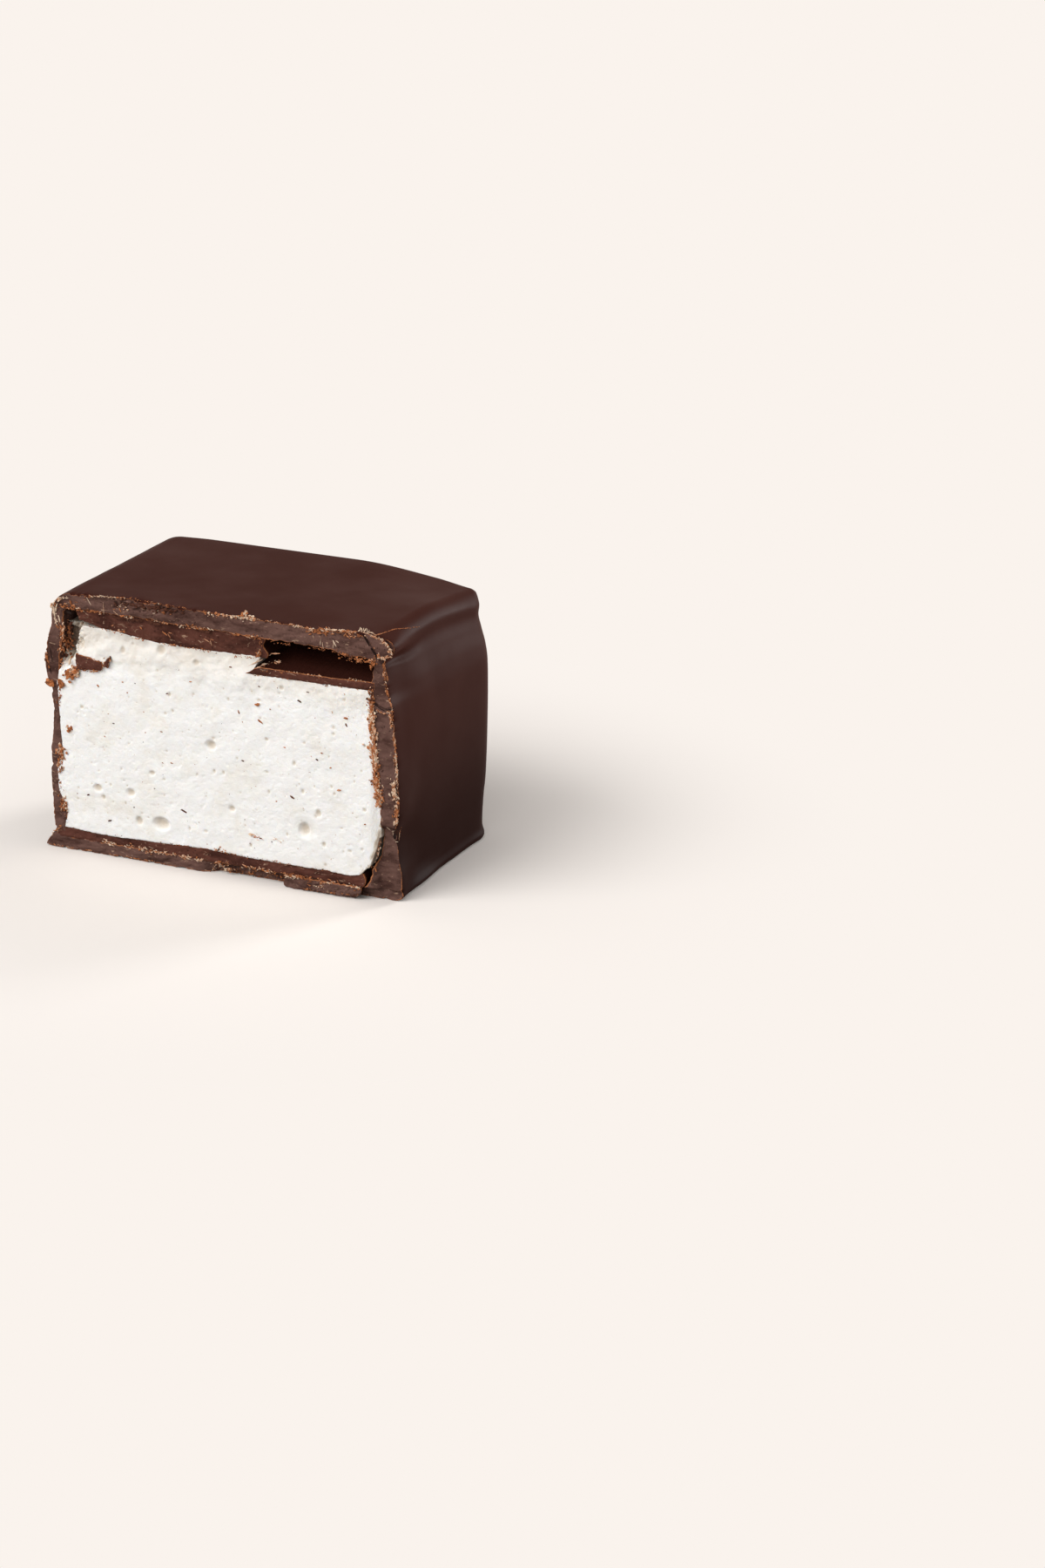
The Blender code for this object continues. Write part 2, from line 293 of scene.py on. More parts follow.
def break_depth(x, z):
    """How far the broken face of the rim lies behind the cut."""
    wobble = 0.35 * grain(x, 0.0, z, 1.6)
    corner = LOST_CORNER_DEPTH * ramp(x + wobble, 12.8, 13.5) * ramp(6.2 - z + wobble, -0.1, 0.35)
    rim = BASE_BREAK_DEPTH * ramp(x + wobble, -2.2, -0.6) * ramp(1.0 - z, 0.0, 0.15)
    chip = CHIP_BREAK_DEPTH * ramp(beyond_crack(x, z) + 0.15 * wobble, 0.0, 0.1)
    return max(corner, rim, chip)


def rim_relief(x, z):
    """The torn face of the chocolate: smears along the cut, steps, and a pitted stretch."""
    smear = 0.03 * grain(x * 0.35, 0.0, z, 0.35, 4)
    lumps = 0.06 * grain(x, 3.0, z, 0.9, 4)
    step = 0.05 * math.tanh(6.0 * grain(x * 0.5, 7.0, z, 0.8, 2))
    pitted = ramp(x, -10.0, -9.0) * ramp(-x, 2.6, 3.6) * ramp(z, 20.75, 20.95)
    pits = 0.28 * pitted * ramp(grain(x, 11.0, z, 0.35, 3), 0.0, 0.25)
    crumbly = ramp(x, -1.8, -1.0) * ramp(-x, -12.5, -12.0) * ramp(1.2 - z, 0.0, 0.2)
    lumps += 0.16 * crumbly * grain(x, 5.0, z, 0.5, 4)
    return smear + lumps + step + pits + cracks(x, z)


def back_edge_radius(turn, x):
    """The upright back edges keep their radius from the floor to the top, where it eases out along
    the level edges."""
    side = BACK_EDGE_RADII["right"] if x > 0.0 else BACK_EDGE_RADII["left"]
    level = BACK_EDGE_RADII["top"] if turn.y > 0.0 else BACK_EDGE_RADII["under"]
    near_corner = ramp(abs(x), RIGHT - 5.0, RIGHT - 0.4)
    return mix(level, side, max(near_corner * (1.0 if turn.y < 0.0 else 0.5), abs(turn.x)))


def back_face(x, z):
    """Where the back wall stands, with its bow and its foot."""
    foot = BACK_FOOT * max(0.0, 1.0 - z / 0.7) ** 2
    return BACK + 0.25 + BACK_BOW * hump(z, 12.0, 9.0) * hump(x, 0.0, 16.0) + foot


def outer_point(t, share):
    """The outside wall: share 0 is at the rim, 1 where the back edge starts to turn in."""
    start = section(t, (LEFT, 0.0), (RIGHT, TOP), FRONT_RADII)[0]
    front = CUT + break_depth(start.x, start.y)
    front += 0.1 * grain(start.x, 20.0, start.y, 0.7, 4)
    end = turned_in(t, 0.0).y
    y = mix(front, end, share * share * (2.0 - share))
    point, turn = outer_section(t, y)
    near = math.exp(-(y - front) / 0.22)
    bite = 0.16 * ramp(grain(point.x, 30.0, point.y, 0.8, 4), 0.05, 0.6) + 0.03
    point -= turn * near * bite
    lift = 0.03 * grain(point.x * 0.6, y, point.y * 0.6, 2.8, 2)
    point += turn * lift * (1.0 - near)
    return Vector((point.x, y, max(0.0, point.y)))


def turned_in(t, degrees):
    """The rounded back edge: 0 degrees is where it starts and 90 is on the back wall."""
    base, turn = outer_section(t, BACK)
    radius = back_edge_radius(turn, base.x)
    core = Vector((min(9.0, max(-9.0, base.x)), min(TOP - 6.0, max(0.6, base.y))))
    out = base - core
    angle = math.radians(degrees)
    inset = radius * (1.0 - math.cos(angle))
    point = core + out * max(0.05, 1.0 - inset / out.length)
    y = back_face(point.x, point.y) - radius * (1.0 - math.sin(angle))
    return Vector((point.x, y, max(0.0, point.y)))


def towards_middle(point, share):
    """Draws a back wall in towards a short line at its middle."""
    x = mix(point.x, min(5.0, max(-5.0, point.x)), share)
    return Vector((x, point.y, mix(point.z, MIDDLE.z, share)))


def back_wall(t, share):
    point = towards_middle(turned_in(t, 90.0), share)
    point.y = back_face(point.x, point.z)
    return point


def rim_point(t, share):
    """The broken face between the outside, share 0, and the hollow, share 1."""
    outside = outer_point(t, 0.0)
    inside, turn = inner_section(t)
    inside += turn * (0.10 * grain(inside.x, 40.0, inside.y, 0.5, 4) - 0.02)
    x = mix(outside.x, inside.x, share)
    z = mix(outside.z, inside.y, share)
    edge = math.sin(math.pi * share) ** 0.4
    y = CUT + break_depth(x, z) + edge * rim_relief(x, z)
    y += (1.0 - edge) * (0.06 + 0.1 * grain(x, 20.0, z, 0.7, 4))
    return Vector((x, y, z))


def hollow_point(t, depth):
    """The inside wall, a depth behind the rim."""
    front = rim_point(t, 1.0)
    inside, turn = inner_section(t)
    settle = ramp(depth, 0.0, 1.0)
    x = mix(front.x, inside.x, settle)
    z = mix(front.z, inside.y, settle)
    rough = 0.05 * grain(x, depth, z, 0.6, 3)
    y = mix(front.y, INNER_BACK, depth / (INNER_BACK - CUT))
    return Vector((x + turn.x * rough, y, z + turn.y * rough))


def shell_rows():
    """The cup's rows from the middle of the outside's back, over the rim, to the hollow's back.
    Each is a function of t, how broken the chocolate is there, and how near the rim's edges it is."""
    rows = []
    for share in (0.985, 0.9, 0.8, 0.7, 0.6, 0.5, 0.4, 0.3, 0.22, 0.15, 0.1, 0.06, 0.03):
        rows.append((lambda t, s=share: back_wall(t, s), 0.0, 0.0))
    for step in range(9, -1, -1):
        rows.append((lambda t, d=step * 10.0: turned_in(t, d), 0.0, 0.0))
    for step in range(WALL_STEPS - 1, -1, -1):
        share = (step / WALL_STEPS) ** 2.2
        broken = max(0.0, 1.0 - share * 90.0)
        rows.append((lambda t, s=share: outer_point(t, s), broken, broken))
    for step in range(1, RIM_STEPS + 1):
        share = step / RIM_STEPS
        edge = max(1.0 - share * 9.0, 1.0 - (1.0 - share) * 9.0, 0.0)
        rows.append((lambda t, s=share: rim_point(t, s), 1.0, edge))
    for depth in (0.12, 0.3, 0.6, 1.2, 2.4, 4.0, 8.0, INNER_BACK - CUT):
        rows.append((lambda t, d=depth: hollow_point(t, d), 0.85, max(0.0, 1.0 - depth * 3.0)))
    for share in (0.4, 0.985):
        rows.append((lambda t, s=share: towards_middle(hollow_point(t, INNER_BACK - CUT), s), 0.85, 0.0))
    return rows


def finish_piece(name, shape, material, smooth=True):
    """Closes the work on a bmesh: metres, faces outwards, an object at the origin on the body."""
    bmesh.ops.scale(shape, vec=(MM, MM, MM), verts=shape.verts)
    bmesh.ops.recalc_face_normals(shape, faces=shape.faces)
    if shape.calc_volume(signed=True) < 0.0:
        bmesh.ops.reverse_faces(shape, faces=shape.faces)
    mesh = bpy.data.meshes.new(name)
    shape.to_mesh(mesh)
    shape.free()
    if smooth:
        mesh.shade_smooth()
    piece = bpy.data.objects.new(name, mesh)
    bpy.context.scene.collection.objects.link(piece)
    mesh.materials.append(material)
    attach(piece, "root")
    return piece


def wrapped_grid(columns, rows):
    """A grid primitive and, for each of its vertices, its column and row."""
    shape = bmesh.new()
    bmesh.ops.create_grid(shape, x_segments=columns, y_segments=rows, size=1.0)
    cells = [
        (round((v.co.x + 1.0) / 2.0 * columns), round((v.co.y + 1.0) / 2.0 * rows)) for v in shape.verts
    ]
    return shape, cells


def make_shell(material):
    rows = shell_rows()
    shape, cells = wrapped_grid(AROUND, len(rows) - 1)
    broken = shape.verts.layers.float.new("broken")
    edge = shape.verts.layers.float.new("edge")
    for vertex, (column, row) in zip(shape.verts, cells):
        place, vertex_broken, vertex_edge = rows[row]
        vertex.co = place(column % AROUND / AROUND)
        vertex[broken] = vertex_broken
        vertex[edge] = vertex_edge
    bmesh.ops.remove_doubles(shape, verts=shape.verts, dist=0.0005)
    for end in (flat_back_middle(shape), hollow_back_middle(shape)):
        bmesh.ops.remove_doubles(shape, verts=end, dist=0.25)
    bmesh.ops.holes_fill(shape, edges=[e for e in shape.edges if e.is_boundary], sides=0)
    piece = finish_piece("dipped_coating", shape, material)
    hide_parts("coating")
    return piece


def flat_back_middle(shape):
    return [v for v in shape.verts if v.co.y > BACK and abs(v.co.z - MIDDLE.z) < 0.3 and abs(v.co.x) < 5.3]


def hollow_back_middle(shape):
    level = INNER_BACK - 0.05
    return [
        v for v in shape.verts
        if abs(v.co.y - level) < 0.2 and abs(v.co.z - MIDDLE.z) < 0.3 and abs(v.co.x) < 5.3
    ]


def faced_piece(columns, rows, front, depths, draw):
    """A grid laid over a piece's front, its border drawn back in steps and closed behind.
    front(u, v) gives the front's points and draw(point, depth) where the border goes."""
    shape, cells = wrapped_grid(columns, rows)
    edge = shape.verts.layers.float.new("edge")
    broken = shape.verts.layers.float.new("broken")
    for vertex, (column, row) in zip(shape.verts, cells):
        vertex.co = front(column / columns, row / rows)
        vertex[broken] = 1.0
    border = [e for e in shape.edges if e.is_boundary]
    starts = {v: v.co.copy() for e in border for v in e.verts}
    for vertex in starts:
        vertex[edge] = 1.0
    for depth in depths:
        made = bmesh.ops.extrude_edge_only(shape, edges=border)["geom"]
        fresh = [g for g in made if isinstance(g, bmesh.types.BMVert)]
        border = [g for g in made if isinstance(g, bmesh.types.BMEdge) and g.is_boundary]
        moved = {}
        for vertex in fresh:
            old = next(v for e in vertex.link_edges for v in e.verts if v in starts)
            moved[vertex] = starts[old]
            vertex[edge] = 1.0 if depth == depths[0] else 0.0
            vertex[broken] = 1.0 if depth == depths[0] else 0.0
        for vertex, start in moved.items():
            vertex.co = draw(start, depth)
        starts = moved
    bmesh.ops.holes_fill(shape, edges=border, sides=0)
    return shape


def foam_left(z):
    return INNER_LEFT + along(INNER_LEFT_AT_CUT, z) - 0.12


def foam_right(z):
    return INNER_RIGHT + along(INNER_RIGHT_AT_CUT, max(z, 6.0)) - 0.1 * ramp(-z, -7.0, -5.0)


def foam_front(u, v):
    level = mix(2.0, 18.0, v)
    x = mix(foam_left(level), foam_right(level), u)
    ragged = (0.05 + 0.2 * ramp(x, 11.4, 12.6)) * grain(x, 50.0, 0.0, 0.5, 4)
    low = along(FOAM_UNDER_AT_CUT, x) + ragged
    high = along(FOAM_TOP_AT_CUT, x) + 0.06 * grain(x, 60.0, 0.0, 0.6, 4)
    z = mix(low, high, v)
    x += STEP_LEAN * max(0.0, z - 17.1) * ramp(x, 0.9, 2.4) * ramp(-x, -2.95, -2.45)
    return Vector((x, CUT + foam_relief(x, z), z))


def foam_relief(x, z):
    """How far the foam's cut face lies behind the cut: soft lumps, fine pores, the tear and the bed."""
    high = ramp(z, 14.5, 17.5)
    soft = mix(0.06, 0.2, high) * grain(x, 70.0, z, 2.2, 3)
    fine = 0.012 * grain(x, 80.0, z, 0.5, 3)
    pores = 0.035 * ramp(grain(x, 90.0, z, 0.34, 2), 0.35, 0.7)
    away = math.hypot((x - TEAR_LEFT[0]) / 2.3, (z - TEAR_LEFT[1]) / 3.0)
    tear = 1.6 * ramp(1.0 - away + 0.35 * grain(x, 95.0, z, 0.8, 4), 0.0, 0.75)
    rise = 0.25 * ramp(z, 16.6, 18.4)
    lip = 0.2 * ramp(x, 12.8, 13.7)
    return soft + fine + pores + tear + rise + lip


def press_pits(shape):
    """Presses bubbles into the foam's front, the larger ones as listed and small ones at random."""
    rng = random.Random(11)
    hollow = shape.verts.layers.float.new("hollow")
    pits = [(x, z, r, 0.5 if r < 0.8 else 0.1, 1.0) for x, z, r in FOAM_PITS]
    for _ in range(SMALL_PITS):
        size = 0.06 + 0.14 * rng.random() ** 2.5
        pits.append((rng.uniform(-13.8, 13.0), rng.uniform(2.3, 18.0), size, 0.4, 0.8))
    shape.verts.ensure_lookup_table()
    front = [v for v in shape.verts if v.co.y < CUT + 2.0]
    # Painted shade: the hollow attribute grows as the face lies further behind the cut, so recesses such as
    # the tear at the upper left turn darker.
    for vertex in front:
        vertex[hollow] = 0.35 * ramp(vertex.co.y - CUT, 0.12, 0.6) + 0.65 * ramp(vertex.co.y - CUT, 0.6, 1.6)
        # Painted shade along the foam's lower right edge, beside the wall.
        if vertex.co.x > 11.5 and vertex.co.z < 6.5:
            away = to_line(PAINTED_SHADE_EDGE, vertex.co.x, vertex.co.z)
            away += 0.3 * grain(vertex.co.x, 97.0, vertex.co.z, 0.4, 4)
            vertex[hollow] = max(vertex[hollow], 0.8 * ramp(-away, -0.3, 0.0))
    tree = kdtree.KDTree(len(front))
    for index, vertex in enumerate(front):
        tree.insert((vertex.co.x, 0.0, vertex.co.z), index)
    tree.balance()
    for x, z, reach, depth, power in pits:
        stretch = rng.uniform(0.8, 1.2)
        for _, index, _ in tree.find_range((x, 0.0, z), reach * 1.5):
            vertex = front[index]
            away = math.hypot((vertex.co.x - x) * stretch, (vertex.co.z - z) / stretch) / reach
            bowl = max(0.0, 1.0 - away * away) ** power
            vertex.co.y += depth * reach * bowl
            # Painted shade in each bubble's bowl.
            vertex[hollow] = max(vertex[hollow], bowl * min(0.55, 1.6 * depth + 0.3 * reach - 0.25))


def make_foam(material):
    def draw(point, depth):
        y = mix(point.y, FOAM_HIGH.y, depth)
        inward = 0.1 * ramp(depth, 0.0, 0.1)
        sunk = max(0.0, 1.0 - abs(y - CUT) / 4.4)
        high = point.z > 16.5
        z = point.z - (inward if high else -inward)
        if high and point.x > STEP_X and y > CUT + 4.3:
            z = FOAM_HIGH.z
        return Vector((mix(point.x, MIDDLE.x, inward / 14.0), y, z - 0.02 * sunk))

    shape = faced_piece(340, 190, foam_front, (0.004, 0.02, 0.06, 0.15, 0.23, 0.26, 0.6, 1.0), draw)
    press_pits(shape)
    piece = finish_piece("foam", shape, material)
    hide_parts("marshmallow")
    return piece


def plate_front(left, right, under, over, recess, rough, seed):
    """The broken edge of a plate between four lines, as a function of u and v."""
    def front(u, v):
        x = mix(left(v), right(v), u)
        low = under(x) + 0.05 * grain(x, seed, 0.0, 0.6, 4)
        high = over(x) + 0.03 * grain(x, seed + 5.0, 0.0, 0.6, 4)
        z = mix(low, high, v)
        relief = rough * (0.5 * grain(x * 0.5, seed, z, 0.4, 4) + grain(x, seed + 9.0, z, 0.9, 4))
        edge = 0.05 * (1.0 - math.sin(math.pi * v) ** 0.3)
        return Vector((x, CUT + recess + relief + edge, z))

    return front


def make_upper_plate(material):
    def under(x):
        return mix(along(FOAM_TOP_AT_CUT, min(x, 2.2)) - 0.05, 19.4, ramp(-x, 10.0, 13.4))

    front = plate_front(
        lambda v: -12.7 - 0.5 * v,
        lambda v: SHARD_LOW.x + 1.0 - 0.25 * v + 0.15 * math.sin(9.0 * v),
        under,
        lambda x: UNDER_TOP + 0.05 + along(UNDER_TOP_AT_CUT, x),
        0.26, 0.08, 110.0,
    )

    def draw(point, depth):
        rough = 0.12 * grain(point.x, depth * 20.0, point.z, 0.8, 3) * ramp(depth, 0.0, 0.05)
        return Vector((point.x + rough, mix(point.y, PLATE_HIGH.y, depth), point.z + 0.3 * rough))

    shape = faced_piece(300, 26, front, (0.006, 0.02, 0.05, 0.1, 0.17, 0.25, 1.0), draw)
    drop_level(shape, PLATE_LOW.z)
    piece = finish_piece("upper_plate", shape, material)
    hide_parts("top_plate")
    return piece


def drop_level(shape, level):
    """Keeps the back of a plate from sinking below its level."""
    for vertex in shape.verts:
        if vertex.co.y > CUT + 6.0:
            vertex.co.z = max(vertex.co.z, level)


def make_lower_plate(material):
    front = plate_front(
        lambda v: -15.3 + 0.15 * v,
        lambda v: 12.15 + 0.25 * math.sin(math.pi * v),
        lambda x: OVER_BASE - 0.05 + 0.04 * math.sin(1.7 * x),
        lambda x: along(FOAM_UNDER_AT_CUT, min(x, 11.8)) + 0.06,
        0.02, 0.09, 130.0,
    )

    def draw(point, depth):
        x = mix(point.x, min(12.2, max(INNER_LEFT, point.x)), ramp(depth, 0.0, 0.1))
        return Vector((x, mix(point.y, FOAM_HIGH.y, depth), point.z))

    shape = faced_piece(340, 14, front, (0.006, 0.03, 0.1, 1.0), draw)
    piece = finish_piece("lower_plate", shape, material)
    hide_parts("base_plate")
    return piece


def make_sunken_shard(material):
    front = plate_front(
        lambda v: SHARD_LOW.x - 0.75 + 0.75 * v,
        lambda v: INNER_RIGHT - 0.1,
        lambda x: 17.08 + 0.1 * ramp(x, 4.0, 13.0),
        lambda x: 17.25 + 0.45 * ramp(x, 2.0, 3.6) + 0.12 * ramp(x, 9.0, 13.0),
        -0.03, 0.05, 150.0,
    )

    def draw(point, depth):
        y = mix(point.y, CUT + 5.2, depth)
        bow = 0.12 * grain(point.x, y, 0.0, 2.5, 2) * ramp(depth, 0.0, 0.2)
        return Vector((point.x + 0.25 * depth, y, point.z + bow + 0.95 * depth))

    shape = faced_piece(170, 10, front, (0.01, 0.03, 0.1, 0.2, 0.35, 0.5, 0.65, 0.8, 1.0), draw)
    piece = finish_piece("sunken_shard", shape, material)
    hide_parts("top_shard")
    return piece


# How much shorter a loose piece is at its upper and lower edges, as a share of its length.
ROUNDED_ENDS = 0.08


def patch(corners, recess, rough, seed, bow=0.0):
    """A four-cornered broken face. Corners go round from the lower left."""
    a, b, c, d = (Vector(corner) for corner in corners)

    def front(u, v):
        along_row = 0.5 + (u - 0.5) * (1.0 - ROUNDED_ENDS * abs(2.0 * v - 1.0) ** 3)
        point = a.lerp(b, along_row).lerp(d.lerp(c, along_row), v)
        x = point.x + 0.06 * grain(point.x, seed, point.y, 0.5, 3)
        z = point.y + 0.06 * grain(point.x, seed + 7.0, point.y, 0.5, 3)
        edge = 1.0 - (math.sin(math.pi * u) * math.sin(math.pi * v)) ** 0.3
        relief = rough * grain(x, seed + 3.0, z, 0.45, 4) + 0.08 * edge
        return Vector((x, CUT + recess + relief - bow * (1.0 - edge), z))

    return front


def make_broken_bit(name, node, corners, recess, thick, rough, seed, material, cells=(40, 24), bow=0.0):
    """A loose piece: a broken face drawn back to its thickness, a little smaller behind."""
    middle = sum((Vector(corner) for corner in corners), Vector((0.0, 0.0))) / 4.0

    def draw(point, depth):
        inward = 0.12 * depth
        rough_side = 0.05 * grain(point.x, depth * 3.0, point.z, 0.4, 3)
        x = mix(point.x, middle.x, inward) + rough_side
        z = mix(point.z, middle.y, inward) + rough_side
        return Vector((x, point.y + thick * depth, z))

    shape = faced_piece(*cells, patch(corners, recess, rough, seed, bow), (0.1, 0.3, 0.6, 1.0), draw)
    piece = finish_piece(name, shape, material)
    if node:
        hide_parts(node)
    return piece


# How many crumbs each run gets for its number below, how many lie in a cluster, and how far it reaches.
CRUMB_COUNT = 1.5
CLUSTER = 6
CLUSTER_REACH = 0.2
